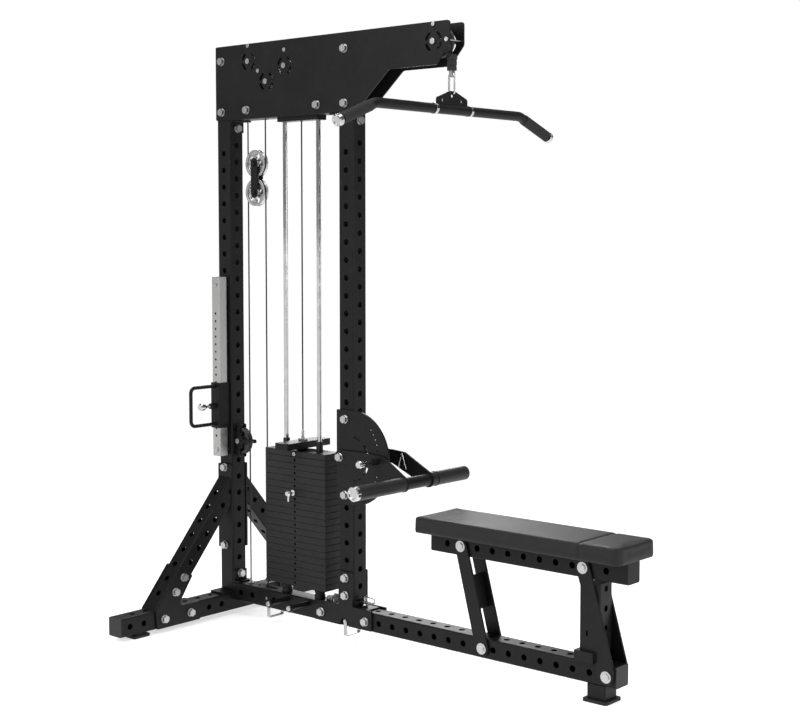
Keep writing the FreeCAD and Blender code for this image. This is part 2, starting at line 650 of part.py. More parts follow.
def make_zinc_brackets():
    """Two stirrups under the rail, the dead end of the low cable and a lug on the rail."""
    parts = []
    y1 = H + 3.5
    for x in STIRRUPS:
        base = 22.6
        outer = slab([(-y1, 83), (-y1, base), (y1, base), (y1, 83)], [0, 8, 8, 0], "yz", x - 8, 16)
        inner = slab([(-H, 84), (-H, base + 3.5), (H, base + 3.5), (H, 84)], [0, 5, 5, 0], "yz", x - 9, 18)
        ears = [rod("y", x, 83.0, -y1, -H, 8.0), rod("y", x, 83.0, H, y1, 8.0)]
        strap = fuse([outer.cut(inner)] + ears)
        parts.append(strap.cut(rod("y", x, 83.0, -y1 - 1, y1 + 1, 5.5)))
    washer = rod("z", 109.0, 0, RAIL_TOP, RAIL_TOP + 4, 11.0)
    eye = fuse([washer, rod("z", 109.0, 0, RAIL_TOP + 4, RAIL_TOP + 16, 6.0)])
    parts.append(eye)
    base = box(566, 612, -22, 22, RAIL_TOP, RAIL_TOP + 4)
    ears = [slab([(572, RAIL_TOP), (606, RAIL_TOP), (606, 168), (572, 168)], [0, 0, 15, 15], "xz", y, 4)
            for y in (-22, 18)]
    parts.append(fuse([base] + ears + [rod("y", 589, 158, -27, 27, 6.0)]))
    return parts


SLIDE_Y0 = 46.0
SLIDE_Y1 = 92.0
SLIDE_W = 45.0
SLIDE_PITCH = 32.3
SLIDE_HOLE_TOP = 1286.8


def make_slide_tube():
    middle = -(SLIDE_Y0 + SLIDE_Y1) / 2.0
    tube = square_tube("z", SLIDE_Z0, SLIDE_Z1, 0, middle, SLIDE_W, SLIDE_Y1 - SLIDE_Y0, 3.0, 4.0)
    cuts = [rod("y", 0, z, -SLIDE_Y1 - 1, -SLIDE_Y0 + 1, 6.0) for z in (709.0, 1408.0)]
    for k in range(17):
        cuts.append(rod("y", 0, SLIDE_HOLE_TOP - SLIDE_PITCH * k, -SLIDE_Y1 - 1, -SLIDE_Y1 + 5, 5.0))
    return tube.cut(cuts)


def make_guide_bracket():
    """Two lobed cheeks that carry the guide pulley in the slot of the rear upright."""
    x, z = GUIDE
    keep = 63.5
    arms = []
    for y in (-19.0, 14.0):
        cheek = [rod("y", x, z, y, y + 5, 27.0),
                 slab(rectangle(x - 9, x + 9, z - keep - 8, z + keep + 8), 8, "xz", y, 5),
                 slab(rectangle(x, x + keep + 8, z - 8, z + 8), 7, "xz", y, 5),
                 box(H, x, y, y + 5, z - 42, z + 42)]
        arms.append(fuse(cheek).cut(rod("y", x, z, y - 1, y + 6, 6.0)).common(box(H, 400, -60, 60, 600, 900)))
    pins = []
    for dx, dz in ((0, keep), (0, -keep), (keep, 0)):
        pins.append(rod("y", x + dx, z + dz, -19, 19, 4.0))
    ears = []
    for y0, y1 in ((-34.0, -19.0), (19.0, 34.0)):
        ears.append(box(H, H + 5, y0, y1, z - 42, z + 42))
    return fuse(arms + pins + ears)


def make_quadrant_plate():
    """Index plate for the thigh rollers: a flat edge behind and a round nose in front."""
    cx, cz, r = 740.0, 743.0, 188.5
    left = 655.0
    half = 187.0
    nose = rod("y", cx, cz, -H - PLATE_T, -H, r)
    nose = nose.common(box(left, 1000, -100, 0, cz - half, cz + half))
    back = slab(rectangle(left, cx, cz - half, cz + half), 5, "xz", -H - PLATE_T, PLATE_T)
    plate = fuse([nose, back])
    y0 = -H - PLATE_T - 1
    cuts = []
    for middle in (71, 30, -31, -71):
        cuts.append(arc_slot((735, 742), 86.0, middle, 9.5, 6.5, y0, PLATE_T + 2))
    for k in range(-4, 7):
        turn = math.radians(6.3 * k)
        cuts.append(rod("y", ARM_PIVOT[0] + INDEX_R * math.cos(turn), ARM_PIVOT[1] + INDEX_R * math.sin(turn),
                        y0, -H + 1, 4.6))
    for x, z in ((FRONT_X, 893.0), (FRONT_X, 592.0), ARM_PIVOT):
        cuts.append(rod("y", x, z, y0, -H + 1, 8.5))
    return plate.cut(cuts)


# ---- weight stack -------------------------------------------------------------------
STEM_TOP = 797.0


def make_weight(index):
    """One weight, counted from the top, bored for the rods, the stem and the pin."""
    top = STACK_TOP - WEIGHT_PITCH * index
    half_w, half_d = STACK_W / 2.0, STACK_D / 2.0
    plate = box(STACK_X - half_w, STACK_X + half_w, -half_d, half_d, top - WEIGHT_T, top)
    plate = plate.makeChamfer(1.6, plate.Edges)
    cuts = [rod("z", STACK_X, 0, top - WEIGHT_T - 1, top + 1, 13.0)]
    for x in (STACK_X - ROD_SPREAD, STACK_X + ROD_SPREAD):
        cuts.append(rod("z", x, 0, top - WEIGHT_T - 1, top + 1, ROD_R + 1.5))
    cuts.append(rod("y", STACK_X, top - WEIGHT_PITCH / 2.0, -half_d - 1, -10, 5.5))
    return plate.cut(cuts)


HEAD_Z = STACK_TOP + 0.2
HEAD_T = 23.8
BAR_Z0 = 752.0
BAR_Z1 = 779.0


def make_head_plate():
    half_w, half_d = STACK_W / 2.0, STACK_D / 2.0
    plate = box(STACK_X - half_w, STACK_X + half_w, -half_d, half_d, HEAD_Z, HEAD_Z + HEAD_T)
    plate = plate.makeChamfer(1.6, plate.Edges)
    cuts = [rod("z", STACK_X, 0, HEAD_Z - 1, HEAD_Z + HEAD_T + 1, 12.0)]
    for x in (STACK_X - ROD_SPREAD, STACK_X + ROD_SPREAD):
        cuts.append(rod("z", x, 0, HEAD_Z - 1, HEAD_Z + HEAD_T + 1, 12.0))
    cuts.append(rod("y", STACK_X, HEAD_Z + HEAD_T / 2.0, -half_d - 1, -11, 4.0))
    return plate.cut(cuts)


def make_head_bar():
    """Cross bar on top of the stack, standing on its spacer."""
    bar = slab(rectangle(STACK_X - 36, STACK_X + 36, -125, 125), 3, "xy", BAR_Z0, BAR_Z1 - BAR_Z0)
    bar = fuse([bar, rod("z", STACK_X, 0, HEAD_Z + HEAD_T, BAR_Z0, 21.0)])
    return bar.cut(rod("z", STACK_X, 0, HEAD_Z, BAR_Z1 + 1, 12.0))


def make_head_bolt():
    """Button head on the front of the head plate that locks the stem."""
    face = -STACK_D / 2.0
    z = HEAD_Z + HEAD_T / 2.0
    head = fuse([rod("y", STACK_X, z, face - 5, face, 8.0), rod("y", STACK_X, z, face, -12, 4.0)])
    return head.cut(hexagon("y", 6.0, face - 6, face - 2, STACK_X, z))


def make_stem():
    """Selector stem with its row of holes, and the nut that joins it to the cable."""
    low = STACK_TOP - WEIGHT_PITCH * WEIGHTS + 6
    parts = [rod("z", STACK_X, 0, low, 790, 12.0)]
    parts.append(hexagon("z", 34.0, BAR_Z1, 790, STACK_X, 0))
    parts.append(rod("z", STACK_X, 0, 790, STEM_TOP, 8.0))
    stem = fuse(parts)
    holes = []
    for k in range(WEIGHTS):
        holes.append(rod("y", STACK_X, STACK_TOP - WEIGHT_PITCH * (k + 0.5), -13, 13, 5.5))
    return stem.cut(holes)


def make_rod_bushings():
    parts = []
    bore = ROD_R + 0.1
    profile = [(bore, 0), (12.0, 0), (12.0, HEAD_T), (14.0, HEAD_T), (14.0, 62), (12.5, 66), (bore, 66)]
    for x in (STACK_X - ROD_SPREAD, STACK_X + ROD_SPREAD):
        parts.append(spin(profile, "z", (x, 0, HEAD_Z)))
    return parts


def make_selector_pin():
    face = -STACK_D / 2.0
    pin = rod("y", STACK_X, PIN_Z, face - 28, 11.5, 5.0)
    collar = rod("y", STACK_X, PIN_Z, face - 12, face - 0.5, 12.0)
    knob = spin([(0, 0), (9, 0), (14, 5), (14, 15), (9, 20), (0, 20)], "y", (STACK_X, face - 46, PIN_Z))
    grip = rod("z", STACK_X, face - 36, PIN_Z - 32, PIN_Z - 10, 4.5)
    return fuse([pin, collar, knob, grip])


# ---- cables -------------------------------------------------------------------------
UP_FIXED_Z = HEIGHT - 160.0
DOWN_FIXED_Z = 185.0
STOPPER_TOP = HEIGHT - 121.0


def make_cables_fixed():
    """Runs that stay in place while the cable slides through them."""
    along = math.atan2(P3[1] - P2[1], P3[0] - P2[0])
    lead = math.degrees(along) + 90.0
    over_stack = [
        [(213.0, UP_FIXED_Z), on_circle(P2, PULLEY_R, (180 + lead) / 2), on_circle(P2, PULLEY_R, lead)],
        [on_circle(P2, PULLEY_R, lead), on_circle(P3, PULLEY_R, lead)],
        [on_circle(P3, PULLEY_R, lead), on_circle(P3, PULLEY_R, lead / 2), on_circle(P3, PULLEY_R, 0)],
    ]
    over_boom = [
        [(109.0, UP_FIXED_Z), (109.0, P1[1])],
        [(109.0, P1[1]), on_circle(P1, PULLEY_R, 135), on_circle(P1, PULLEY_R, 90)],
        [on_circle(P1, PULLEY_R, 90), on_circle(P4, PULLEY_R, 90)],
        [on_circle(P4, PULLEY_R, 90), on_circle(P4, PULLEY_R, 45), on_circle(P4, PULLEY_R, 0)],
    ]
    along_rail = [
        [(213.0, DOWN_FIXED_Z), (213.0, RAIL_Z)],
        [(213.0, RAIL_Z), on_circle(LOW_REAR, LOW_R, 225), on_circle(LOW_REAR, LOW_R, 270)],
        [on_circle(LOW_REAR, LOW_R, 270), on_circle(LOW_FRONT, LOW_R, 270)],
        [on_circle(LOW_FRONT, LOW_R, 270), on_circle(LOW_FRONT, LOW_R, 315), on_circle(LOW_FRONT, LOW_R, 0)],
    ]
    dead_end = [[(109.0, RAIL_TOP + 16), (109.0, DOWN_FIXED_Z)]]
    return [cable(over_stack), cable(over_boom), cable(along_rail), cable(dead_end)]


def make_cable_wraps():
    """The two half turns round the pulleys of the floating block."""
    under = [[(109.0, FLOAT_TOP[1]), (FLOAT_TOP[0], FLOAT_TOP[1] - PULLEY_R), (213.0, FLOAT_TOP[1])]]
    crown = (FLOAT_BOTTOM[0], FLOAT_BOTTOM[1] + PULLEY_R)
    over = [[(109.0, FLOAT_BOTTOM[1]), crown, (213.0, FLOAT_BOTTOM[1])]]
    return [cable(under), cable(over)]


def stretch(x, z0, z1):
    return rod("z", x, 0, z0, z1, CABLE_R)


# ---- floating block, lat bar, low hook ----------------------------------------------
def make_float_block():
    x = FLOAT_TOP[0]
    parts = []
    for y in (-18.0, 13.0):
        strap = slab(rectangle(x - 18, x + 18, FLOAT_BOTTOM[1] - 24, FLOAT_TOP[1] + 24), 17.9, "xz", y, 5)
        parts.append(strap)
    for z in (FLOAT_TOP[1], FLOAT_BOTTOM[1]):
        parts.append(rod("y", x, z, -20, 20, 6.0))
        parts.append(hexagon("y", 19.0, -26, -18, x, z))
        parts.append(hexagon("y", 19.0, 18, 26, x, z))
        parts.append(rod("y", x, z, -13, -11.3, 9.0))
        parts.append(rod("y", x, z, 11.3, 13, 9.0))
    return fuse(parts)


HANGER_Z = HEIGHT - 266.0      # bottom wire of the snap ring that holds the lat bar
HOLE_DROP = 4.4        # the hanger's hole is that much lower, so its top rests on the wire


def make_lat_stopper():
    profile = [(0, 0), (18, 0), (18, 14), (16, 17), (18.5, 20), (18.5, 34), (17, 37), (20, 40), (20, 55),
               (17, 58), (0, 58)]
    return spin(profile, "z", (LAT_X, 0, STOPPER_TOP - 58))


FORK_PIN = 0.62


def fork(x, z, depth):
    """Two ears and a cross pin, standing on (or hanging from) the level z."""
    low, high = min(z, z + depth), max(z, z + depth)
    parts = [slab(rectangle(x - 7, x + 7, low, high), 4, "xz", y, 4) for y in (-9.0, 5.0)]
    parts.append(rod("y", x, z + depth * FORK_PIN, -9, 9, 3.0))
    edge = 4.0 if depth > 0 else -4.0
    parts.append(box(x - 7, x + 7, -9, 9, min(z, z + edge), max(z, z + edge)))
    return fuse(parts)


def make_lat_carabiner():
    base = STOPPER_TOP - 58
    depth = 26.0
    wire = 3.6
    top = base - depth * FORK_PIN + 3.0 + wire + 0.05
    ring = wire_ring((LAT_X, (top + HANGER_Z) / 2.0), (top - HANGER_Z) / 2.0, 13.0, wire, 0)
    return [fork(LAT_X, base, -depth), ring]


LAT_Z = HANGER_Z - 56.5
LAT_STRAIGHT = 419.0
LAT_HALF = 603.0
LAT_DROP = 69.0
LAT_R = 18.5


def make_lat_bar():
    """Bent bar with its hanger plate; the drop ends bend with a wide radius."""
    def run(y, z):
        return V(LAT_X, y, z)

    slope = math.atan2(LAT_DROP, LAT_HALF - LAT_STRAIGHT)
    bend = 70.0
    reach = bend * math.tan(slope / 2.0)
    edges = []
    ends = []
    for side in (-1, 1):
        corner = run(side * LAT_STRAIGHT, LAT_Z)
        outward = V(0, side * math.cos(slope), -math.sin(slope))
        start = corner - V(0, side * reach, 0)
        finish = corner + outward * reach
        chord = (start + finish) * 0.5
        sag = bend * (1 - math.cos(slope / 2.0))
        lean = corner - chord
        lean.normalize()
        middle = chord + lean * sag
        tip = corner + outward * ((LAT_HALF - LAT_STRAIGHT) / math.cos(slope))
        ends.append((start, middle, finish, tip))
    left, right = ends
    edges.append(Part.LineSegment(left[3], left[2]).toShape())
    edges.append(Part.Arc(left[2], left[1], left[0]).toShape())
    edges.append(Part.LineSegment(left[0], right[0]).toShape())
    edges.append(Part.Arc(right[0], right[1], right[2]).toShape())
    edges.append(Part.LineSegment(right[2], right[3]).toShape())
    heading = left[2] - left[3]
    spine = Part.Wire(edges)
    outer = Part.Wire([Part.Circle(left[3], heading, LAT_R).toShape()])
    inner = Part.Wire([Part.Circle(left[3], heading, LAT_R - 3.0).toShape()])
    bar = spine.makePipeShell([outer], True, False).cut(spine.makePipeShell([inner], True, False))
    low = LAT_Z + LAT_R - 1.5
    high = HANGER_Z + 12.0
    points = [(-88, low), (88, low), (88, high - 27), (14, high), (-14, high), (-88, high - 27)]
    plate = slab(points, [0, 0, 12, 10, 10, 12], "yz", LAT_X - 4, 8)
    cuts = [rod("x", 0, HANGER_Z - HOLE_DROP, LAT_X - 5, LAT_X + 5, 9.1)]
    cuts.append(spine.makePipeShell([outer], True, False))
    for side in (-1, 1):
        points = rectangle(side * 55 - 6, side * 55 + 6, high - 44, high - 28)
        cuts.append(slab(points, 5.9, "yz", LAT_X - 5, 10))
    return [bar, plate.cut(cuts)]


def make_lat_bar_trim():
    """Chrome collars beside the hanger and chrome caps on the bar's ends."""
    slope = math.degrees(math.atan2(LAT_DROP, LAT_HALF - LAT_STRAIGHT))
    parts = []
    for side in (-1, 1):
        ring = rod("y", LAT_X, LAT_Z, side * 102 - 6, side * 102 + 6, LAT_R + 2.5)
        parts.append(ring.cut(rod("y", LAT_X, LAT_Z, side * 102 - 7, side * 102 + 7, LAT_R)))
        wide = LAT_R + 3.0
        profile = [(0, 0), (wide, 0), (wide, 15), (wide - 3, 19), (wide - 8, 19), (wide - 10, 16), (0, 16)]
        cap = spin(profile, "y", (0, 0, 0))
        if side < 0:
            cap = cap.mirror(V(0, 0, 0), V(0, 1, 0))
        cap.rotate(V(0, 0, 0), V(1, 0, 0), -side * slope)
        tip = V(LAT_X, side * LAT_HALF, LAT_Z - LAT_DROP)
        cap.translate(tip)
        parts.append(cap)
    return parts


def make_low_hook():
    """Ball stop on the low cable with its fork, and the snap ring lying forward."""
    z = RAIL_TOP + 6.5
    depth = 30.0
    ball = spin([(0, 0), (9, 0), (13, 4), (13, 8), (9, 12), (0, 12)], "z", (EXIT_X, 0, z))
    parts = fuse([ball, fork(EXIT_X, z + 12, depth)])
    pin_z = z + 12 + depth * FORK_PIN
    lean = 92.0
    turn = math.radians(lean)
    reach = 22.5
    ring = wire_ring((EXIT_X + reach * math.sin(turn), pin_z + reach * math.cos(turn)), 30.0, 10.0, 3.0, lean)
    return [parts, ring]


# ---- thigh rollers ------------------------------------------------------------------
ARM_Y0 = H + PLATE_T + 0.4
ARM_Y1 = ARM_Y0 + PLATE_T
FAR_ARM_Y0 = 96.0      # the far plate stands off the upright on a spacer
FAR_ARM_Y1 = FAR_ARM_Y0 + PLATE_T
ROLLER_HALF = 316.0
FAR_SLEEVE = 134.0     # inner end of the far sleeve


def touch(point, centre, radius, side):
    """Where a line from point touches a circle; side picks one of the two tangents."""
    dx = point[0] - centre[0]
    dz = point[1] - centre[1]
    away = math.hypot(dx, dz)
    turn = math.atan2(dz, dx) + side * math.acos(radius / away)
    return (centre[0] + radius * math.cos(turn), centre[1] + radius * math.sin(turn))


def make_arm_frame():
    """Two swinging plates, the roller tube across them and the pop pin's barrel."""
    px, pz = ARM_PIVOT
    rx, rz = ROLLER
    under = touch((820.0, 716.0), ROLLER, 30.0, 1)
    tail = [(px - 26, pz - 26), (820, 716), under, ROLLER]
    near = tail + [touch((932.0, 750.0), ROLLER, 30.0, -1), (932, 750), (910, 764), (826, 770),
                   (px - 26, pz + 28)]
    far = tail + [touch((884.0, 765.0), ROLLER, 30.0, -1), (884, 765), (826, 770), (px - 26, pz + 28)]
    plates = []
    for y, points, radii in ((-ARM_Y1, near, [25, 30, 0, 0, 0, 14, 20, 20, 25]),
                             (FAR_ARM_Y0, far, [25, 30, 0, 0, 0, 10, 20, 25])):
        plate = fuse([slab(points, radii, "xz", y, PLATE_T), rod("y", rx, rz, y, y + PLATE_T, 30.0)])
        plates.append(plate.cut([rod("y", px, pz, y - 1, y + PLATE_T + 1, 8.1),
                                 rod("y", rx, rz, y - 1, y + PLATE_T + 1, 24.0)]))
    bore = rod("y", px + INDEX_R, pz, -ARM_Y1 - 41, -ARM_Y0 + 1, 4.1)
    barrel = rod("y", px + INDEX_R, pz, -ARM_Y1 - 40, -ARM_Y1, 13.0).cut(bore)
    tube = rod("y", rx, rz, -ROLLER_HALF, ROLLER_HALF, 24.0)
    tube = tube.cut(rod("y", rx, rz, -ROLLER_HALF - 1, ROLLER_HALF + 1, 21.0))
    return [plates[0].cut(bore), plates[1], tube, barrel]


def make_roller_sleeves():
    """Two sleeves, a collar between the far sleeve and its plate, and the far end's plug."""
    sleeves = []
    for a, b in ((-ROLLER_HALF, -ARM_Y1 - 0.5), (FAR_ARM_Y1 + 0.5, FAR_SLEEVE - 3), (FAR_SLEEVE, ROLLER_HALF)):
        sleeve = rod("y", ROLLER[0], ROLLER[1], a, b, 28.0)
        sleeves.append(sleeve.cut(rod("y", ROLLER[0], ROLLER[1], a - 1, b + 1, 24.0)))
    plug = spin([(0, -10), (20.9, -10), (20.9, 0), (28, 0), (28, 8), (22, 14), (0, 14)], "y", (0, 0, 0))
    plug.translate(V(ROLLER[0], ROLLER_HALF, ROLLER[1]))
    return sleeves + [plug]


def make_arm_trim():
    """Chrome cap on the near end of the roller tube, and a wire clip on a peg of the far plate."""
    profile = [(0, -10), (20.9, -10), (20.9, 0), (28, 0), (28, 16), (25, 19), (19, 19), (17, 16), (0, 16)]
    cap = spin(profile, "y", (0, 0, 0)).mirror(V(0, 0, 0), V(0, 1, 0))
    cap.translate(V(ROLLER[0], -ROLLER_HALF, ROLLER[1]))
    level = FAR_ARM_Y0 - 8.0
    top = V(880, level, 760)
    clip = [rod("y", 880, 752, level - 4, FAR_ARM_Y0, 4.0), Part.makeSphere(2.4, top)]
    for x, z in ((863, 705), (902, 699)):
        leg = V(x, level, z) - top
        clip.append(Part.makeCylinder(2.4, leg.Length, top, leg))
    return [cap, fuse(clip)]


def pop_pin(x, z, face, tip, reach):
    """Spring pin pulled by a knob on the -Y side; face is the barrel's end."""
    pin = rod("y", x, z, face - 4, tip, 4.0)
    profile = [(0, 0), (7, 0), (7, reach * 0.4), (11, reach * 0.5), (16, reach * 0.66), (16, reach * 0.9),
               (12, reach), (0, reach)]
    knob = spin(profile, "y", (0, 0, 0)).mirror(V(0, 0, 0), V(0, 1, 0))
    knob.translate(V(x, face - 0.5, z))
    return fuse([pin, knob])


def make_arm_pin():
    return pop_pin(ARM_PIVOT[0] + INDEX_R, ARM_PIVOT[1], -ARM_Y1 - 40, -ARM_Y0 - 0.2, 66.0)


# ---- carriage -----------------------------------------------------------------------
CARRIAGE_Z0 = 804.0
CARRIAGE_Z1 = 995.0
CARRIAGE_Y1 = 98.0


def make_carriage():
    """Sleeve on the slide rail with a U-shaped handle and the pop pin's barrel."""
    outer = slab(rectangle(-27, 27, -CARRIAGE_Y1, -40), 4, "xy", CARRIAGE_Z0, CARRIAGE_Z1 - CARRIAGE_Z0)
    inner = slab(rectangle(-23.2, 23.2, -SLIDE_Y1 - 0.7, -SLIDE_Y0 + 0.7), 3.5, "xy", CARRIAGE_Z0 - 1,
                 CARRIAGE_Z1 - CARRIAGE_Z0 + 2)
    sleeve = outer.cut(inner)
    top, bottom, out, bend = 981.0, 821.0, -232.0, 22.0
    start = -CARRIAGE_Y1
    k = bend * (1 - math.sqrt(0.5))
    edges = [
        Part.LineSegment(V(0, start, top), V(0, out + bend, top)).toShape(),
        Part.Arc(V(0, out + bend, top), V(0, out + k, top - k), V(0, out, top - bend)).toShape(),
        Part.LineSegment(V(0, out, top - bend), V(0, out, bottom + bend)).toShape(),
        Part.Arc(V(0, out, bottom + bend), V(0, out + k, bottom + k), V(0, out + bend, bottom)).toShape(),
        Part.LineSegment(V(0, out + bend, bottom), V(0, start, bottom)).toShape(),
    ]
    section = Part.Wire([Part.Circle(V(0, start, top), V(0, -1, 0), 7.5).toShape()])
    handle = Part.Wire(edges).makePipeShell([section], True, False)
    barrel = rod("y", 0, 897.5, -CARRIAGE_Y1 - 28, -CARRIAGE_Y1, 12.0)
    bore = rod("y", 0, 897.5, -CARRIAGE_Y1 - 29, -SLIDE_Y1, 4.1)
    return [sleeve.cut(bore), handle, barrel.cut(bore)]


def make_carriage_pin():
    return pop_pin(0, 897.5, -CARRIAGE_Y1 - 28, -SLIDE_Y1 - 1.0, 58.0)


# ---- bench --------------------------------------------------------------------------
LINK_Y0 = H + 1.0
LINK_Y1 = LINK_Y0 + PLATE_T


def tapered(bottom, top, low_r, high_r, level, thick):
    """Flat bar between two pivots with round ends."""
    bar_dir = V(top[0] - bottom[0], top[1] - bottom[1], 0)
    bar_dir.normalize()
    side = V(-bar_dir.y, bar_dir.x, 0)
    points = []
    sides = ((bottom, low_r, 1), (bottom, low_r, -1), (top, high_r, -1), (top, high_r, 1))
    for centre, radius, sign in sides:
        points.append((centre[0] + side.x * radius * sign, centre[1] + side.y * radius * sign))
    body = slab(points, 0.0, "xz", level, thick)
    ends = [rod("y", bottom[0], bottom[1], level, level + thick, low_r),
            rod("y", top[0], top[1], level, level + thick, high_r)]
    return fuse([body] + ends)


def make_front_link():
    """Two flat bars joined by a cross plate."""
    bottom = (LINK_FOOT_X, RAIL_Z)
    top = (LINK_TOP_X, BENCH_Z)
    bars = []
    for y in (-LINK_Y1, LINK_Y0):
        bar = tapered(bottom, top, 29.0, 27.0, y, PLATE_T)
        bars.append(bar.cut([rod("y", bottom[0], bottom[1], y - 1, y + 9, 10.1),
                             rod("y", top[0], top[1], y - 1, y + 9, 10.1)]))
    along = V(top[0] - bottom[0], 0, top[1] - bottom[1])
    along.normalize()
    across = V(-along.z, 0, along.x)
    centre = V((bottom[0] + top[0]) / 2.0, 0, (bottom[1] + top[1]) / 2.0) + along * 14.0
    corners = []
    for a, c in ((-64, -4), (64, -4), (64, 4), (-64, 4)):
        q = centre + along * a + across * c
        corners.append((q.x, q.z))
    cross = slab(corners, 0.0, "xz", -LINK_Y0, 2 * LINK_Y0)
    return bars + [cross]


REAR_TOP_X = LINK_TOP_X + LINK_SPACING
REAR_FOOT_X = LINK_FOOT_X + LINK_SPACING


def make_rear_link():
    """Two wide plates, a perforated tube between them and the block that rests on the rail."""
    tx, bx = REAR_TOP_X, REAR_FOOT_X
    points = [(tx - 26, BENCH_Z + 26), (tx - 18, 430), (tx - 9, 405), (tx - 9, 150), (tx + 50, 150),
              (bx - 28, RAIL_Z - 28), (bx + 28, RAIL_Z - 28), (bx + 30, 125), (tx + 28, BENCH_Z + 6),
              (tx + 20, BENCH_Z + 26)]
    radii = [24, 10, 10, 4, 10, 24, 24, 20, 14, 14]
    plates = []
    for y in (-LINK_Y1, LINK_Y0):
        plate = slab(points, radii, "xz", y, PLATE_T)
        plates.append(plate.cut([rod("y", bx, RAIL_Z, y - 1, y + 9, 10.1),
                                 rod("y", tx, BENCH_Z, y - 1, y + 9, 10.6),
                                 slab(rectangle(1840, 1848, 230, 252), 3.9, "xz", y - 1, 10)]))
    spine = square_tube("z", 180.0, 420.0, 1853.0, 0, 76.0, 2 * LINK_Y0)
    holes = [rod("x", 0, z, 1880, 1900, 11.0) for z in (397.0, 327.0, 257.0)]
    clearance = slab([(1790, 354), (1910, 430), (1910, 500), (1790, 500)], 0.0, "xz", -60, 120)
    spine = spine.cut(holes + [clearance])
    block = slab(rectangle(1799, 1878, -62, 62), 3, "xy", RAIL_TOP + 1.5, 38.0)
    block = block.cut([slab(points, radii, "xz", y, PLATE_T) for y in (-LINK_Y1, LINK_Y0)])
    return plates + [spine, block]


def make_bench_beam():
    """Beam under the pad with its end plugs and the two plates that carry the pad."""
    tube = square_tube("x", BENCH_X0, BENCH_X1, 0, BENCH_Z)
    cuts = []
    for k in range(12):
        x = 1214.0 + PITCH * k
        if abs(x - LINK_TOP_X) > 10 and abs(x - REAR_TOP_X) > 32 and x < BENCH_X1 - 20:
            cuts.append(rod("y", x, BENCH_Z, -H - 1, H + 1, HOLE_R))
    for x in (LINK_TOP_X, REAR_TOP_X):
        cuts.append(rod("y", x, BENCH_Z, -H - 1, H + 1, 10.0))
    tube = tube.cut(cuts)
    parts = [tube]
    for x, side in ((BENCH_X0, 1), (BENCH_X1, -1)):
        inner = H - WALL
        parts.append(slab(rectangle(-inner, inner, BENCH_Z - inner, BENCH_Z + inner), 3, "yz", x, side * 3.0))
    for x in (1300.0, 1840.0):
        parts.append(slab(rectangle(x - 60, x + 60, -95, 95), 6, "xy", BENCH_Z + H, 4.0))
    return parts


def make_bench_pad():
    z0 = BENCH_Z + H + 4.0
    points = rectangle(PAD_X0, PAD_X1, -PAD_W / 2.0, PAD_W / 2.0)
    pad = slab(points, [12, 34, 34, 12], "xy", z0, PAD_T)
    rims = [e for e in pad.Edges if e.BoundBox.ZLength < 0.01 and e.BoundBox.ZMin > z0 + PAD_T - 0.01]
    return pad.makeFillet(7.0, rims)


def make_bench_bolts():
    parts = []
    for x in (LINK_TOP_X, REAR_TOP_X):
        parts.append(bolt("y", x, BENCH_Z, -LINK_Y1 - 0.5, LINK_Y1 + 0.5, 10.0, 24.0, 4.0, 21.0))
    return parts


# ---- build and export ---------------------------------------------------------------
big_wheel = make_pulley(PULLEY_R, PULLEY_RIM, 11.0, 6.05, 5)
low_wheel = make_pulley(LOW_R, LOW_RIM, 9.0, 6.05, 0)

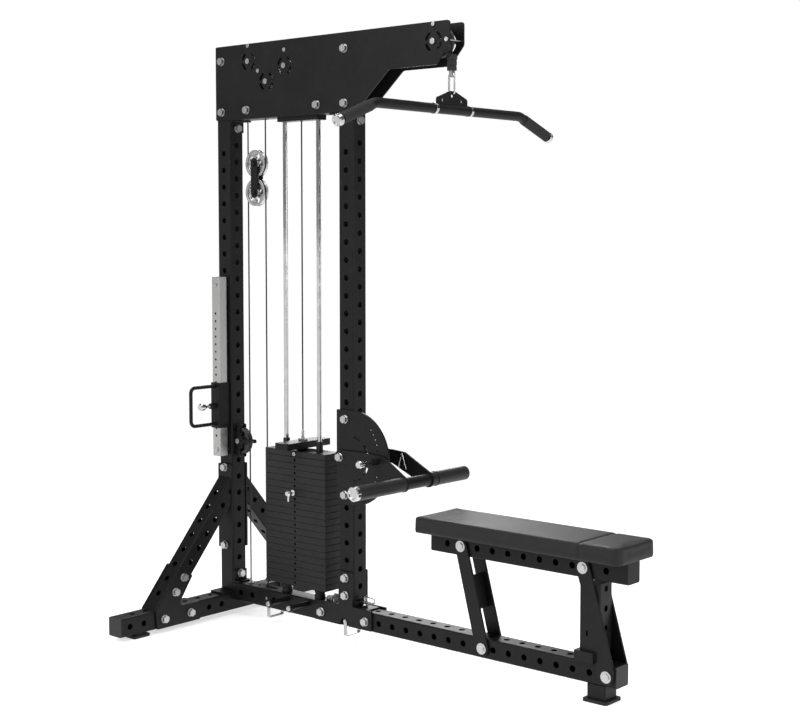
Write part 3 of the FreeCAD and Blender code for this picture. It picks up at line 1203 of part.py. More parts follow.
nodes = {
    "crossmember": [make_crossmember()],
    "rail": [make_rail()],
    "rear_upright": [make_rear_upright()],
    "front_upright": [make_front_upright()],
    "tube_caps": make_tube_caps(),
    "rubber_parts": make_rubber_parts(),
    "braces": make_braces(),
    "gussets": make_gussets(),
    "brackets": make_brackets(),
    "top_plates": make_top_plates(),
    "crossbeam": [make_crossbeam()],
    "guide_rods": make_guide_rods(),
    "frame_bolts": make_frame_bolts(),
    "pulley_bolts": make_pulley_bolts(),
    "band_pegs": make_band_pegs(),
    "zinc_brackets": make_zinc_brackets(),
    "slide_tube": [make_slide_tube()],
    "guide_bracket": [make_guide_bracket()],
    "quadrant_plate": [make_quadrant_plate()],
    "lower_weights": [make_weight(k) for k in range(LIFTED, WEIGHTS)],
    "cables_fixed": make_cables_fixed(),
    "pulley_boom_rear": [place_pulley(big_wheel, P1)],
    "pulley_boom_low": [place_pulley(big_wheel, P2)],
    "pulley_stack": [place_pulley(big_wheel, P3)],
    "pulley_boom_tip": [place_pulley(big_wheel, P4)],
    "pulley_float_top": [place_pulley(big_wheel, FLOAT_TOP)],
    "pulley_float_bottom": [place_pulley(big_wheel, FLOAT_BOTTOM)],
    "pulley_guide": [place_pulley(big_wheel, GUIDE)],
    "pulley_low_rear": [place_pulley(low_wheel, LOW_REAR)],
    "pulley_low_front": [place_pulley(low_wheel, LOW_FRONT)],
    "float_block": [make_float_block()],
    "cable_wraps": make_cable_wraps(),
    "head_plate": [make_head_plate()],
    "head_bar": [make_head_bar()],
    "head_bolt": [make_head_bolt()],
    "stem": [make_stem()],
    "rod_bushings": make_rod_bushings(),
    "upper_weights": [make_weight(k) for k in range(LIFTED)],
    "selector_pin": [make_selector_pin()],
    "cable_stack": [stretch(STACK_X, STEM_TOP, P3[1])],
    "cable_lat": [stretch(LAT_X, STOPPER_TOP, P4[1])],
    "cable_up": [stretch(x, FLOAT_TOP[1], UP_FIXED_Z) for x in (109.0, 213.0)],
    "cable_down": [stretch(x, DOWN_FIXED_Z, FLOAT_BOTTOM[1]) for x in (109.0, 213.0)],
    "cable_low": [stretch(EXIT_X, RAIL_Z, RAIL_TOP + 6.5)],
    "lat_stopper": [make_lat_stopper()],
    "lat_carabiner": make_lat_carabiner(),
    "lat_bar": make_lat_bar(),
    "lat_bar_trim": make_lat_bar_trim(),
    "low_hook": make_low_hook(),
    "arm_frame": make_arm_frame(),
    "roller_sleeves": make_roller_sleeves(),
    "arm_trim": make_arm_trim(),
    "arm_pin": [make_arm_pin()],
    "carriage": make_carriage(),
    "carriage_pin": [make_carriage_pin()],
    "front_link": make_front_link(),
    "rear_link": make_rear_link(),
    "bench_beam": make_bench_beam(),
    "bench_pad": [make_bench_pad()],
    "bench_bolts": make_bench_bolts(),
}

os.makedirs("parts", exist_ok=True)
everything = []
for name, shapes in nodes.items():
    solids = []
    for shape in shapes:
        solids.extend(shape.Solids)
    group = solids[0] if len(solids) == 1 else Part.makeCompound(solids)
    group.translate(V(-CENTRE_X, 0, 0))
    facts = (name, len(group.Solids), group.Volume, group.isValid())
    print("%-20s solids %3d  volume %11.0f mm3  valid %s" % facts)
    group.exportStep("parts/" + name + ".step")
    everything.append(group)
whole = Part.makeCompound(everything).BoundBox
print("nodes", len(nodes))
print("box x %.1f %.1f" % (whole.XMin, whole.XMax))
print("box y %.1f %.1f" % (whole.YMin, whole.YMax))
print("box z %.1f %.1f" % (whole.ZMin, whole.ZMax))
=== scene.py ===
# %% [markdown]
# # A cable tower with a lat bar, thigh rollers and a bench
# The steelwork comes in from the CAD model.  This lesson gives it its finishes, makes the
# parts that are soft or turned, and sets up a plain studio.

# %% Load the frame
import math
import bmesh
import bpy
import numpy as np
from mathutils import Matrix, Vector


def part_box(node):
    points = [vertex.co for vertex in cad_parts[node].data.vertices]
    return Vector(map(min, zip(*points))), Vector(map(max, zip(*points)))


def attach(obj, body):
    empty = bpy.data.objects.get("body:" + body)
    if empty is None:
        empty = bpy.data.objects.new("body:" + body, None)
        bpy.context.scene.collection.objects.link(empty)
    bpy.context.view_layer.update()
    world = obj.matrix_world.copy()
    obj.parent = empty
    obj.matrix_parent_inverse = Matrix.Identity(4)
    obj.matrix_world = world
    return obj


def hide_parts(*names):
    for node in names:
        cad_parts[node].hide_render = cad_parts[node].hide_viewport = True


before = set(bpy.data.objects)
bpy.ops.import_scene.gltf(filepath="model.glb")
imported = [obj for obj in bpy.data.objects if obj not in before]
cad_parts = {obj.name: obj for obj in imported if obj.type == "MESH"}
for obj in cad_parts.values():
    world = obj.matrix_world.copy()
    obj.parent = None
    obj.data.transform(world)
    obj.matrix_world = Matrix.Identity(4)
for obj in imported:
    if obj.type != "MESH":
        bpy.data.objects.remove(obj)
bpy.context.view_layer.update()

# %% [markdown]
# Shader maths reads badly as nodes wired one by one.  A small class wraps a socket, so that
# sums and products are written as ordinary expressions, and one method makes any other node.

# %% A material as expressions
class Value:
    def __init__(self, finish, socket):
        self.finish = finish
        self.socket = socket

    def maths(self, operation, first, second):
        return self.finish.node("ShaderNodeMath", {"operation": operation}, {0: first, 1: second})

    def __add__(self, other):
        return self.maths("ADD", self, other)

    __radd__ = __add__

    def __sub__(self, other):
        return self.maths("SUBTRACT", self, other)

    def __rsub__(self, other):
        return self.maths("SUBTRACT", other, self)

    def __mul__(self, other):
        return self.maths("MULTIPLY", self, other)

    __rmul__ = __mul__

    def __pow__(self, other):
        return self.maths("POWER", self, other)


# %% [markdown]
# One object of the next class is one material.  Its methods return wrapped sockets, so a
# recipe is a few lines: some noise, a blend of two colours, a roughness and a bump.

# %% The finish class
class Finish:
    """One material: a Principled shader and the nodes that feed it."""

    def __init__(self, name):
        self.material = bpy.data.materials.new(name)
        self.material.use_nodes = True
        self.tree = self.material.node_tree
        self.shader = self.tree.nodes["Principled BSDF"]
        self.place = self.node("ShaderNodeTexCoord", {}, {}, "Object")

    def node(self, kind, settings, inputs, output=0):
        made = self.tree.nodes.new(kind)
        for key, value in settings.items():
            if key == "stops":
                for i, (at, grey) in enumerate(value):
                    stop = made.color_ramp.elements[i] if i < 2 else made.color_ramp.elements.new(at)
                    stop.position = at
                    stop.color = (grey, grey, grey, 1)
            else:
                setattr(made, key, value)
        for key, value in inputs.items():
            self.feed(made.inputs[key], value)
        return Value(self, made.outputs[output])

    def feed(self, socket, value):
        if isinstance(value, Value):
            self.tree.links.new(value.socket, socket)
        else:
            socket.default_value = value

    def set(self, **values):
        for key, value in values.items():
            self.feed(self.shader.inputs[key.replace("_", " ")], value)
        return self

    def noise(self, scale, detail=2.0, at=None):
        inputs = {"Vector": at or self.place, "Scale": scale, "Detail": detail}
        return self.node("ShaderNodeTexNoise", {}, inputs)

    def ramp(self, value, low, high):
        return self.node("ShaderNodeValToRGB", {"stops": [(low, 0.0), (high, 1.0)]}, {0: value})

    def blend(self, share, first, second):
        return self.node("ShaderNodeMix", {"data_type": "RGBA"}, {0: share, 6: first, 7: second}, 2)

    def stretched(self, x, y, z):
        return self.node("ShaderNodeMapping", {}, {"Vector": self.place, "Scale": (x, y, z)})

    def bump(self, height, distance, strength=1.0, soften=0.0):
        inputs = {"Height": height, "Distance": distance, "Strength": strength}
        if soften > 0:
            inputs["Normal"] = self.node("ShaderNodeBevel", {"samples": 4}, {"Radius": soften})
        self.set(Normal=self.node("ShaderNodeBump", {}, inputs))


print("helpers for materials are ready")

# %% [markdown]
# The frame is steel with a satin black powder coat.  Powder melts into a skin with a faint
# orange-peel texture, and it is a little thinner and shinier in patches.  Two scales of noise
# give the patches and the peel, and a Bevel node rounds the look of the cut edges.

# %% Powder coat
def powder_coat(name, tone, gloss):
    coat = Finish(name)
    patches = coat.noise(9.0, 3.0)
    peel = coat.noise(1500.0, 2.0)
    dust = coat.ramp(coat.noise(34.0, 6.0), 0.52, 0.80)
    deep = tone * 0.82
    pale = tone * 1.2
    colour = coat.blend(patches, (deep, deep, deep * 1.05, 1), (pale, pale, pale * 1.04, 1))
    colour = coat.blend(dust * 0.08, colour, (0.04, 0.04, 0.042, 1))
    coat.set(Base_Color=colour, Roughness=patches * 0.12 + (gloss - 0.06) + dust * 0.05)
    coat.set(Specular_IOR_Level=0.16)
    coat.bump(peel, 0.00006, 0.35, 0.0016)
    return coat.material


black_coat = powder_coat("black powder coat", 0.007, 0.40)
plate_coat = powder_coat("black powder coat on plates", 0.008, 0.37)
print("made", black_coat.name, "and", plate_coat.name)

# %% [markdown]
# The weights are cast blocks with a rougher paint.  The same recipe with a coarser grain reads
# as cast metal, and a lighter tone keeps the thin gaps between the blocks visible.

# %% Painted castings
def cast_paint(name):
    cast = Finish(name)
    grain = cast.noise(420.0, 5.0)
    patches = cast.noise(6.0, 3.0)
    colour = cast.blend(patches, (0.010, 0.010, 0.011, 1), (0.016, 0.016, 0.017, 1))
    cast.set(Base_Color=colour, Roughness=grain * 0.16 + 0.40, Specular_IOR_Level=0.22)
    cast.bump(grain, 0.0002, 0.35, 0.0018)
    return cast.material


weight_paint = cast_paint("cast weight paint")
print("made", weight_paint.name)

# %% [markdown]
# Zinc plate on bolts is bright but cloudy: it has crystals in slightly different greys.
# Voronoi cells give each crystal its own roughness.

# %% Zinc plate
def zinc_plate(name):
    zinc = Finish(name)
    crystals = zinc.node("ShaderNodeTexVoronoi", {}, {"Vector": zinc.place, "Scale": 700.0}, "Color")
    cloud = zinc.noise(160.0, 4.0)
    colour = zinc.blend(cloud, (0.36, 0.36, 0.355, 1), (0.58, 0.58, 0.57, 1))
    zinc.set(Base_Color=colour, Metallic=1.0)
    zinc.set(Roughness=cloud * 0.18 + 0.20 + crystals * 0.05)
    zinc.bump(cloud, 0.0001, 0.25, 0.0010)
    return zinc.material


zinc = zinc_plate("zinc plate")
print("made", zinc.name)

# %% [markdown]
# Chrome is almost a mirror, so its detail is in what it picks up: a film of oil and finger
# marks that makes it duller in soft patches.

# %% Chrome
def chrome_plate(name):
    chrome = Finish(name)
    film = chrome.ramp(chrome.noise(22.0, 4.0), 0.35, 0.75)
    fine = chrome.noise(900.0, 2.0)
    colour = chrome.blend(film, (0.62, 0.62, 0.63, 1), (0.52, 0.52, 0.53, 1))
    chrome.set(Base_Color=colour, Metallic=1.0, Roughness=film * 0.09 + 0.07)
    chrome.bump(fine, 0.00002, 0.3, 0.0008)
    return chrome.material


chrome = chrome_plate("chrome plate")
print("made", chrome.name)

# %% [markdown]
# The rail on the rear upright is brushed along its length.  Noise squeezed across the tube and
# stretched along it draws the fine parallel scratches.

# %% Brushed rail
def brushed_steel(name):
    brushed = Finish(name)
    lines = brushed.noise(1.0, 3.0, brushed.stretched(1600.0, 1600.0, 9.0))
    broad = brushed.noise(1.0, 2.0, brushed.stretched(120.0, 120.0, 3.0))
    colour = brushed.blend(lines, (0.38, 0.38, 0.375, 1), (0.56, 0.56, 0.55, 1))
    brushed.set(Base_Color=colour, Metallic=1.0, Roughness=lines * 0.16 + broad * 0.08 + 0.24)
    brushed.bump(lines, 0.00004, 0.5, 0.0012)
    return brushed.material


brushed_rail = brushed_steel("brushed rail")
print("made", brushed_rail.name)

# %% [markdown]
# A turned pulley shows fine rings round its own axle.  The distance from the axle, worked out
# from Object coordinates, goes through a sine, so each pulley gets its own material.

# %% Turned wheels
def wheel_finish(name, node, metal):
    low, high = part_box(node)
    centre = (Vector(low) + Vector(high)) / 2
    wheel = Finish(name)
    x = wheel.node("ShaderNodeSeparateXYZ", {}, {0: wheel.place}, 0) - centre.x
    z = wheel.node("ShaderNodeSeparateXYZ", {}, {0: wheel.place}, 2) - centre.z
    radius = (x * x + z * z) ** 0.5
    rings = wheel.node("ShaderNodeMath", {"operation": "SINE"}, {0: radius * 9000.0})
    patches = wheel.noise(60.0, 3.0)
    if metal:
        colour = wheel.blend(patches, (0.46, 0.46, 0.47, 1), (0.64, 0.64, 0.65, 1))
        wheel.set(Base_Color=colour, Metallic=1.0, Roughness=rings * 0.05 + patches * 0.10 + 0.20)
    else:
        colour = wheel.blend(patches, (0.016, 0.016, 0.017, 1), (0.026, 0.026, 0.027, 1))
        wheel.set(Base_Color=colour, Roughness=rings * 0.04 + patches * 0.10 + 0.38)
    wheel.bump(rings, 0.00005, 0.4, 0.0010)
    return wheel.material


metal_wheels = ["pulley_" + place for place in ("float_top", "float_bottom", "boom_rear", "boom_low", "stack")]
wheels = [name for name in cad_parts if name.startswith("pulley_") and name != "pulley_bolts"]
print("pulleys:", len(wheels), "of which bare metal:", len(metal_wheels))

# %% [markdown]
# Rubber and moulded plastic are both black, but rubber is matt with a dusty bloom, while the
# moulded parts keep a soft sheen and a fine spark-eroded grain.

# %% Rubber and plastic
def black_polymer(name, tone, rough, grain_scale, depth):
    polymer = Finish(name)
    bloom = polymer.noise(25.0, 4.0)
    grain = polymer.noise(grain_scale, 3.0)
    deep = tone * 0.8
    pale = tone * 1.3
    colour = polymer.blend(bloom, (deep, deep, deep, 1), (pale, pale, pale, 1))
    polymer.set(Base_Color=colour, Roughness=bloom * 0.12 + rough - 0.06, Specular_IOR_Level=0.26)
    polymer.bump(grain, depth, 0.4, 0.0015)
    return polymer.material


rubber = black_polymer("black rubber", 0.016, 0.66, 800.0, 0.0003)
plastic = black_polymer("moulded black plastic", 0.014, 0.44, 1400.0, 0.0001)
jacket = black_polymer("cable jacket", 0.012, 0.36, 600.0, 0.0001)
print("made", rubber.name, plastic.name, jacket.name)

# %% [markdown]
# Upholstery vinyl has a pebbled grain: rounded cells with narrow valleys.  The distance to a
# Voronoi cell's edge gives the valleys, which are painted darker as shade, and large soft noise gives the
# sheen its slow changes.

# %% Grained vinyl
def grained_vinyl(name):
    vinyl = Finish(name)
    wobble = vinyl.noise(240.0, 3.0)
    cells = vinyl.node("ShaderNodeTexVoronoi", {"feature": "DISTANCE_TO_EDGE"},
                       {"Vector": vinyl.place, "Scale": 620.0})
    pebble = vinyl.ramp(cells, 0.0, 0.22)
    sheen = vinyl.noise(7.0, 3.0)
    # the colour is darker in the valleys between the pebbles: painted shade
    colour = vinyl.blend(pebble, (0.010, 0.010, 0.011, 1), (0.017, 0.017, 0.018, 1))
    vinyl.set(Base_Color=colour, Roughness=sheen * 0.10 + 0.44 - pebble * 0.05, Specular_IOR_Level=0.22)
    vinyl.bump(pebble + wobble * 0.5, 0.00035, 0.45)
    return vinyl.material


vinyl = grained_vinyl("black grained vinyl")
thread = black_polymer("black thread", 0.020, 0.60, 2500.0, 0.0001)
print("made", vinyl.name, "and", thread.name)

# %% [markdown]
# Each CAD node now takes the finish that the real part has.  The mesh is left as it came.

# %% Dress the CAD parts
dress = {
    "crossmember": black_coat, "rail": black_coat, "rear_upright": black_coat,
    "front_upright": black_coat,
    "braces": black_coat, "crossbeam": black_coat, "gussets": plate_coat, "brackets": plate_coat,
    "top_plates": plate_coat, "guide_bracket": plate_coat, "quadrant_plate": plate_coat,
    "band_pegs": black_coat, "float_block": plate_coat, "head_bar": black_coat,
    "arm_frame": plate_coat, "carriage": black_coat, "front_link": plate_coat,
    "rear_link": plate_coat, "bench_beam": black_coat, "lat_bar": black_coat,
    "tube_caps": plastic, "rod_bushings": plastic, "roller_sleeves": plastic,
    "rubber_parts": rubber, "lat_stopper": rubber, "guide_rods": chrome, "selector_pin": chrome,
    "arm_trim": chrome, "arm_pin": chrome, "carriage_pin": chrome, "lat_carabiner": chrome,
    "lat_bar_trim": chrome, "low_hook": chrome, "frame_bolts": zinc, "pulley_bolts": zinc,
    "zinc_brackets": zinc, "head_bolt": zinc, "stem": zinc, "bench_bolts": zinc,
    "slide_tube": brushed_rail, "lower_weights": weight_paint, "upper_weights": weight_paint,
    "head_plate": weight_paint, "bench_pad": vinyl,
}
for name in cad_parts:
    if name.startswith("cable"):
        dress[name] = jacket
for name in wheels:
    dress[name] = wheel_finish("turned " + name, name, name in metal_wheels)
for name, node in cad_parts.items():
    node.data.materials.clear()
    node.data.materials.append(dress[name])
print("dressed", len(dress), "nodes")

# %% [markdown]
# The remaining pieces are shaped here.  Two helpers serve them all: one finishes a bmesh as an
# object that rides on a body, and one turns a profile on a lathe about a line.

# %% Finish a mesh
def finish_piece(name, bm, material, body, sharp=35.0):
    bmesh.ops.remove_doubles(bm, verts=bm.verts, dist=0.00001)
    bmesh.ops.recalc_face_normals(bm, faces=bm.faces)
    mesh = bpy.data.meshes.new(name)
    bm.to_mesh(mesh)
    bm.free()
    mesh.materials.append(material)
    mesh.shade_smooth()
    mesh.set_sharp_from_angle(angle=math.radians(sharp))
    piece = bpy.data.objects.new(name, mesh)
    bpy.context.scene.collection.objects.link(piece)
    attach(piece, body)
    return piece


def turn_profile(bm, profile, start, along, steps=40):
    """Spin (radius, distance) points about the line from start in direction along."""
    along = Vector(along).normalized()
    side = along.orthogonal().normalized()
    start = Vector(start)
    points = [bm.verts.new(start + along * d + side * r) for r, d in profile]
    edges = [bm.edges.new((a, b)) for a, b in zip(points, points[1:])]
    bmesh.ops.spin(bm, geom=points + edges, cent=start, axis=along, angle=math.tau, steps=steps,
                   use_merge=True)


def middle_of(name):
    low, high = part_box(name)
    return (Vector(low) + Vector(high)) / 2


print("helpers for pieces are ready")

# %% [markdown]
# Each pulley runs on a sealed bearing.  Its steel ring and dark shield show at both sides of
# the hub, so both are turned as thin rings that sit on the hub's face.

# %% Bearing rings
def bearing(node):
    centre = middle_of(node)
    low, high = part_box(node)
    half = (high[1] - low[1]) / 2
    outer = 0.0150 if high[0] - low[0] > 0.1 else 0.0110
    bore = outer - 0.0022
    edge = bore - 0.0001
    hub = outer - 0.0055
    ring = bmesh.new()
    shield = bmesh.new()
    for side in (-1, 1):
        face = centre + Vector((0, side * (half - 0.0001), 0))
        along = (0, side, 0)
        rim = [(bore, 0.0), (bore, 0.0006), (bore + 0.0004, 0.0009), (outer - 0.0004, 0.0009),
               (outer, 0.0005), (outer, 0.0), (bore, 0.0)]
        turn_profile(ring, rim, face, along)
        seal = [(hub, 0.0), (hub, 0.0004), (hub + 0.0015, 0.0006), (edge, 0.0004), (edge, 0.0),
                (hub, 0.0)]
        turn_profile(shield, seal, face, along)
    body = node.replace("pulley_", "wheel_")
    finish_piece(node + "_race", ring, chrome, body)
    finish_piece(node + "_shield", shield, plastic, body)


for name in wheels:
    bearing(name)
print("bearings on", len(wheels), "pulleys")

# %% [markdown]
# Where a cable ends, a steel sleeve is crimped over it.  The die leaves shallow waists along
# the sleeve, which a turned profile gives directly.

# %% Crimped sleeves
def crimp(name, start, length, body):
    hole = 0.0031
    wide = 0.0060
    waist = 0.0052
    waists = 3
    profile = [(hole, 0.0), (0.0055, 0.0), (wide, 0.0006)]
    for i in range(waists):
        at = length * (i + 0.5) / waists
        profile += [(wide, at - 0.0032), (waist, at - 0.0018), (waist, at + 0.0018), (wide, at + 0.0032)]
    profile += [(wide, length - 0.0006), (0.0055, length), (hole, length), (hole, 0.0)]
    bm = bmesh.new()
    turn_profile(bm, profile, start, (0, 0, 1), 28)
    finish_piece(name, bm, zinc, body)


stem_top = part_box("stem")[1][2]
crimp("stack_sleeve", (middle_of("stem").x, 0, stem_top), 0.026, "stack")
print("sleeve on the stack's cable stands at z", round(stem_top, 3))

# %% [markdown]
# The bench pad is foam under vinyl.  A box with rounded edges looks hard, so the CAD block is
# remeshed and inflated a little as cloth, with its underside pinned to the board.

# %% Cut the pad's cover
def pad_cover():
    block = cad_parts["bench_pad"]
    cover = bpy.data.objects.new("pad_cover", block.data.copy())
    bpy.context.scene.collection.objects.link(cover)
    remesh = cover.modifiers.new("even", "REMESH")
    remesh.mode = "VOXEL"
    remesh.voxel_size = 0.006
    settled = bpy.context.evaluated_depsgraph_get()
    mesh = bpy.data.meshes.new_from_object(cover.evaluated_get(settled))
    cover.modifiers.clear()
    cover.data = mesh
    low = min(v.co.z for v in mesh.vertices)
    board = cover.vertex_groups.new(name="board")
    board.add([v.index for v in mesh.vertices if v.co.z < low + 0.006], 1.0, "REPLACE")
    return cover


cover = pad_cover()
flat = np.array([v.co for v in cover.data.vertices])
print("cover has", len(flat), "vertices")

# %% [markdown]
# Pressure from inside fills the cover, as foam does.  Twenty steps are enough for it to settle,
# and gravity is off because the board carries the pad.

# %% Fill the pad
def fill_pad(cover):
    cloth = cover.modifiers.new("cloth", "CLOTH")
    cloth.settings.use_pressure = True
    cloth.settings.uniform_pressure_force = 4.0
    cloth.settings.effector_weights.gravity = 0.0
    cloth.settings.vertex_group_mass = "board"
    cloth.settings.tension_stiffness = 40.0
    cloth.settings.compression_stiffness = 40.0
    cloth.point_cache.frame_start = 1
    cloth.point_cache.frame_end = 20
    scene = bpy.context.scene
    for step in range(1, 21):
        scene.frame_set(step)
    settled = bpy.context.evaluated_depsgraph_get()
    shape = np.array([v.co for v in cover.evaluated_get(settled).data.vertices])
    cover.modifiers.clear()
    scene.frame_set(1)
    return shape


filled = fill_pad(cover)
print("the foam lifts the cover by up to", round(float(np.abs(filled - flat).max()) * 1000, 1), "mm")

# %% [markdown]
# Dense foam lets the cover swell very little, so a quarter of the swell is kept and it stops at
# 2 mm.  The cover is sewn from two panels, and the seam pulls the vinyl into a narrow valley.

# %% Sew the seam
swell = filled - flat
size = np.linalg.norm(swell, axis=1, keepdims=True)
swell *= np.minimum(0.25, 0.002 / np.maximum(size, 1e-9))
pad_low = flat.min(axis=0)
pad_high = flat.max(axis=0)
seam_x = float(pad_high[0]) - 0.160
shape = flat + swell
raised = np.clip((shape[:, 2] - pad_low[2]) / 0.03, 0, 1)
valley = np.exp(-((shape[:, 0] - seam_x) / 0.0055) ** 2) * 0.0045 * raised
centre_y = (pad_low[1] + pad_high[1]) / 2
on_top = np.clip((shape[:, 2] - (pad_high[2] - 0.012)) / 0.012, 0, 1)
shape[:, 2] -= valley * on_top
shape[:, 1] -= np.sign(shape[:, 1] - centre_y) * valley * (1 - on_top)
cover.data.vertices.foreach_set("co", shape.astype(np.float32).ravel())
cover.data.update()
print("seam at x", round(seam_x, 3))

# %% [markdown]
# One round of subdivision takes the remesh's small steps away, and the cover then replaces the
# CAD block.

# %% Finish the pad
smooth = cover.modifiers.new("soften", "SUBSURF")
smooth.levels = 1
smooth.render_levels = 1
settled = bpy.context.evaluated_depsgraph_get()
cover.data = bpy.data.meshes.new_from_object(cover.evaluated_get(settled))
cover.modifiers.clear()
cover.vertex_groups.clear()
cover.data.materials.clear()
cover.data.materials.append(vinyl)
cover.data.shade_smooth()
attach(cover, "bench")
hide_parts("bench_pad")
print("pad has", len(cover.data.polygons), "faces")

# %% [markdown]
# A row of stitches runs along both sides of the seam.  One stitch is a tiny bent capsule, and
# it is repeated across the pad at 5 mm, resting on the surface that a ray finds below it.

# %% Stitches beside the seam
def stitch_row(x, name):
    bm = bmesh.new()
    y = float(pad_low[1]) + 0.014
    while y < float(pad_high[1]) - 0.014:
        hit, point, normal, face = cover.ray_cast(Vector((x, y, 1.0)), Vector((0, 0, -1)))
        made = bmesh.ops.create_uvsphere(bm, u_segments=8, v_segments=5, radius=0.0007)
        bmesh.ops.scale(bm, verts=made["verts"], vec=(1.0, 2.6, 0.7))
        bmesh.ops.translate(bm, verts=made["verts"], vec=point + Vector((0, 0, 0.0001)))
        y += 0.0052
    return finish_piece(name, bm, thread, "bench")


for side, offset in (("left", -0.0075), ("right", 0.0075)):
    stitch_row(seam_x + offset, "stitches_" + side)
print("two rows of stitches")

# %% [markdown]
# The lat bar's drop ends carry rubber grips.  The grip has narrow ribs, so its profile repeats
# a groove, and a turned shell follows the slope of the bar.

# %% Lat bar grips
bar_low, bar_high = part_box("lat_bar")
bar_x = (bar_low[0] + bar_high[0]) / 2


def lat_grip(name, side):
    bend_y = 0.419
    bend_z = 2.0765
    slope = math.atan2(0.069, 0.184)
    along = Vector((0, side * math.cos(slope), -math.sin(slope)))
    start = Vector((bar_x, side * bend_y, bend_z)) + along * 0.030
    length = 0.158
    bore = 0.0186
    crest = 0.0206
    groove = 0.0199
    ribs = 26
    profile = [(bore, 0.0), (0.0200, 0.0002), (crest, 0.0020)]
    for i in range(ribs):
        at = 0.006 + (length - 0.012) * i / (ribs - 1)
        profile += [(crest, at - 0.0015), (groove, at - 0.0008), (groove, at + 0.0008), (crest, at + 0.0015)]
    profile += [(crest, length - 0.0020), (0.0200, length), (bore, length), (bore, 0.0)]
    bm = bmesh.new()
    turn_profile(bm, profile, start, along, 48)
    finish_piece(name, bm, rubber, "lat_handle")


lat_grip("lat_grip_near", -1)
lat_grip("lat_grip_far", 1)
print("grips on the lat bar")

# %% [markdown]
# The thigh rollers are moulded sleeves, and the one behind the upright ends in a slightly
# thicker bead.  The bead catches the light and separates the sleeve from the bare tube.

# %% Roller bead
roller_low, roller_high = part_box("roller_sleeves")
roller_x = (roller_low[0] + roller_high[0]) / 2
roller_z = (roller_low[2] + roller_high[2]) / 2
far_sleeve_y = 0.134
bead = bmesh.new()
profile = [(0.0241, 0.0), (0.0285, 0.0), (0.0296, 0.0012), (0.0296, 0.0045), (0.0281, 0.0060),
           (0.0241, 0.0060), (0.0241, 0.0)]
turn_profile(bead, profile, (roller_x, far_sleeve_y, roller_z), (0, 1, 0), 56)
finish_piece("roller_bead", bead, plastic, "arm")
print("bead at the inner end of the far sleeve")

# %% [markdown]
# The studio is plain: a pale floor that glows slightly and melts into a white backdrop.  The
# glow grows with distance, so there is no horizon.

# %% Floor
def studio_floor():
    bm = bmesh.new()
    bmesh.ops.create_grid(bm, x_segments=1, y_segments=1, size=300.0)
    mesh = bpy.data.meshes.new("studio floor")
    bm.to_mesh(mesh)
    bm.free()
    floor = bpy.data.objects.new("studio_floor", mesh)
    bpy.context.scene.collection.objects.link(floor)
    paper = Finish("pale paper")
    away = paper.node("ShaderNodeVectorMath", {"operation": "LENGTH"}, {0: paper.place}, 1)
    far = paper.ramp(away * 0.1, 0.10, 0.42)
    tone = paper.noise(0.8, 2.0)
    pale = paper.blend(tone, (0.80, 0.80, 0.80, 1), (0.82, 0.82, 0.82, 1))
    paper.set(Base_Color=paper.blend(far, pale, (0.0, 0.0, 0.0, 1)), Roughness=0.9, Emission_Strength=1.0)
    paper.set(Emission_Color=paper.blend(far, (0.60, 0.60, 0.60, 1), (1.0, 1.0, 1.0, 1)))
    mesh.materials.append(paper.material)
    return floor


floor = studio_floor()
print("floor ready")

# %% [markdown]
# A big soft key stands on the left and a fill on the right.  A strip behind draws light edges
# on the black steel, and a weak light from above shows the tops of the tubes.

# %% Lights
def soft_light(name, place, target, width, height, power):
    lamp = bpy.data.lights.new(name, "AREA")
    lamp.shape = "RECTANGLE"
    lamp.size = width
    lamp.size_y = height
    lamp.energy = power
    holder = bpy.data.objects.new(name, lamp)
    bpy.context.scene.collection.objects.link(holder)
    holder.location = place
    holder.rotation_mode = "QUATERNION"
    holder.rotation_quaternion = (Vector(target) - Vector(place)).to_track_quat("-Z", "Y")


soft_light("key", (-1.5, -5.5, 4.5), (0, 0, 1.1), 3.5, 3.5, 240)
soft_light("fill", (5.5, 0.5, 3.0), (0, 0, 1.0), 3.0, 4.0, 140)
soft_light("back strip", (-3.5, 4.0, 3.5), (0, 0, 1.2), 2.0, 4.0, 160)
soft_light("top", (0.5, -0.5, 5.0), (0.2, 0, 0), 4.0, 3.0, 90)
print("four soft lights")

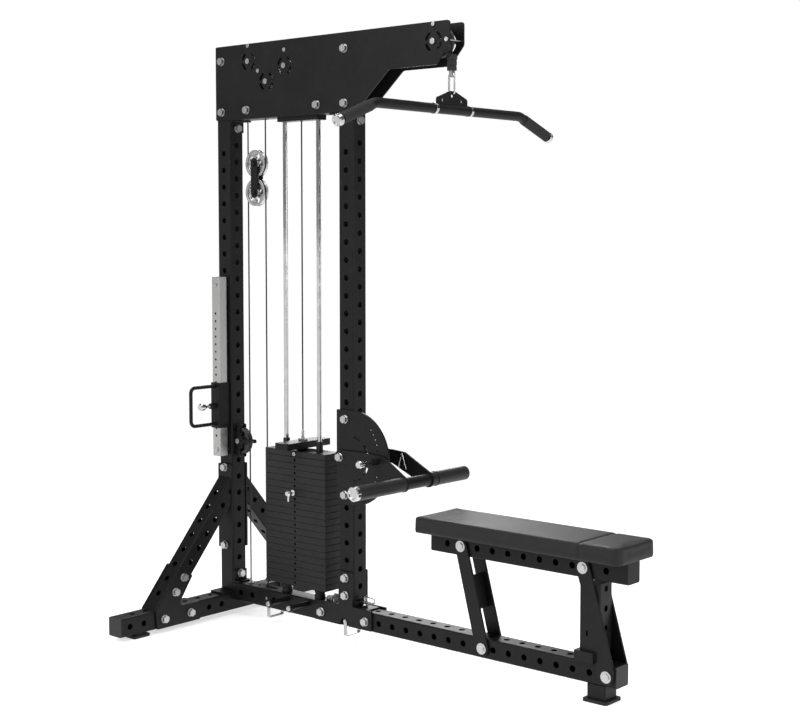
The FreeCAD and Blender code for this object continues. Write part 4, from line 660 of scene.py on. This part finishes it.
# %% [markdown]
# Chrome looks like its surroundings, so a plain white room makes it vanish.  The room here is
# dark grey with brighter panels round it, which draws bands down the rods, and only the view
# straight at the backdrop is white.

# %% Room
room = bpy.data.worlds.new("studio room")
bpy.context.scene.world = room
room.use_nodes = True
backdrop = room.node_tree.nodes["Background"]
links = room.node_tree.links


def room_node(kind, operation=None, inputs=()):
    made = room.node_tree.nodes.new(kind)
    if operation:
        made.operation = operation
    for i, value in enumerate(inputs):
        if isinstance(value, (int, float)):
            made.inputs[i].default_value = value
        else:
            links.new(value, made.inputs[i])
    return made


generated = room_node("ShaderNodeTexCoord").outputs["Generated"]
where = room_node("ShaderNodeSeparateXYZ", None, [generated]).outputs
compass = room_node("ShaderNodeMath", "ARCTAN2", [where[1], where[0]]).outputs[0]
turns = room_node("ShaderNodeMath", "MULTIPLY", [compass, 5.0]).outputs[0]
panels = room_node("ShaderNodeMath", "SINE", [turns]).outputs[0]
bright = room_node("ShaderNodeMath", "MULTIPLY_ADD", [panels, 0.24, 0.27]).outputs[0]
seen = room_node("ShaderNodeLightPath").outputs["Is Camera Ray"]
strength = room_node("ShaderNodeMath", "MAXIMUM", [seen, bright]).outputs[0]
links.new(strength, backdrop.inputs["Strength"])
backdrop.inputs["Color"].default_value = (1, 1, 1, 1)
bpy.context.scene.view_settings.view_transform = "Standard"
print("room ready")

# %% [markdown]
# The camera stands at chest height, five and a half metres away, in front of the bench.

# %% Camera
eye = bpy.data.cameras.new("camera")
eye.lens = 67.0
eye.sensor_width = 36.0
eye.shift_x = 0.00275
eye.shift_y = -0.0219
eye.clip_end = 60.0
camera = bpy.data.objects.new("camera", eye)
bpy.context.scene.collection.objects.link(camera)
around = math.radians(40.98)
above = math.radians(4.06)
back = Vector((math.sin(around) * math.cos(above), -math.cos(around) * math.cos(above), math.sin(above)))
camera.location = (3.6984, -4.3065, 1.6230)
camera.rotation_mode = "QUATERNION"
camera.rotation_quaternion = (-back).to_track_quat("-Z", "Y")
bpy.context.scene.camera = camera
print("camera at", tuple(round(v, 2) for v in camera.location))
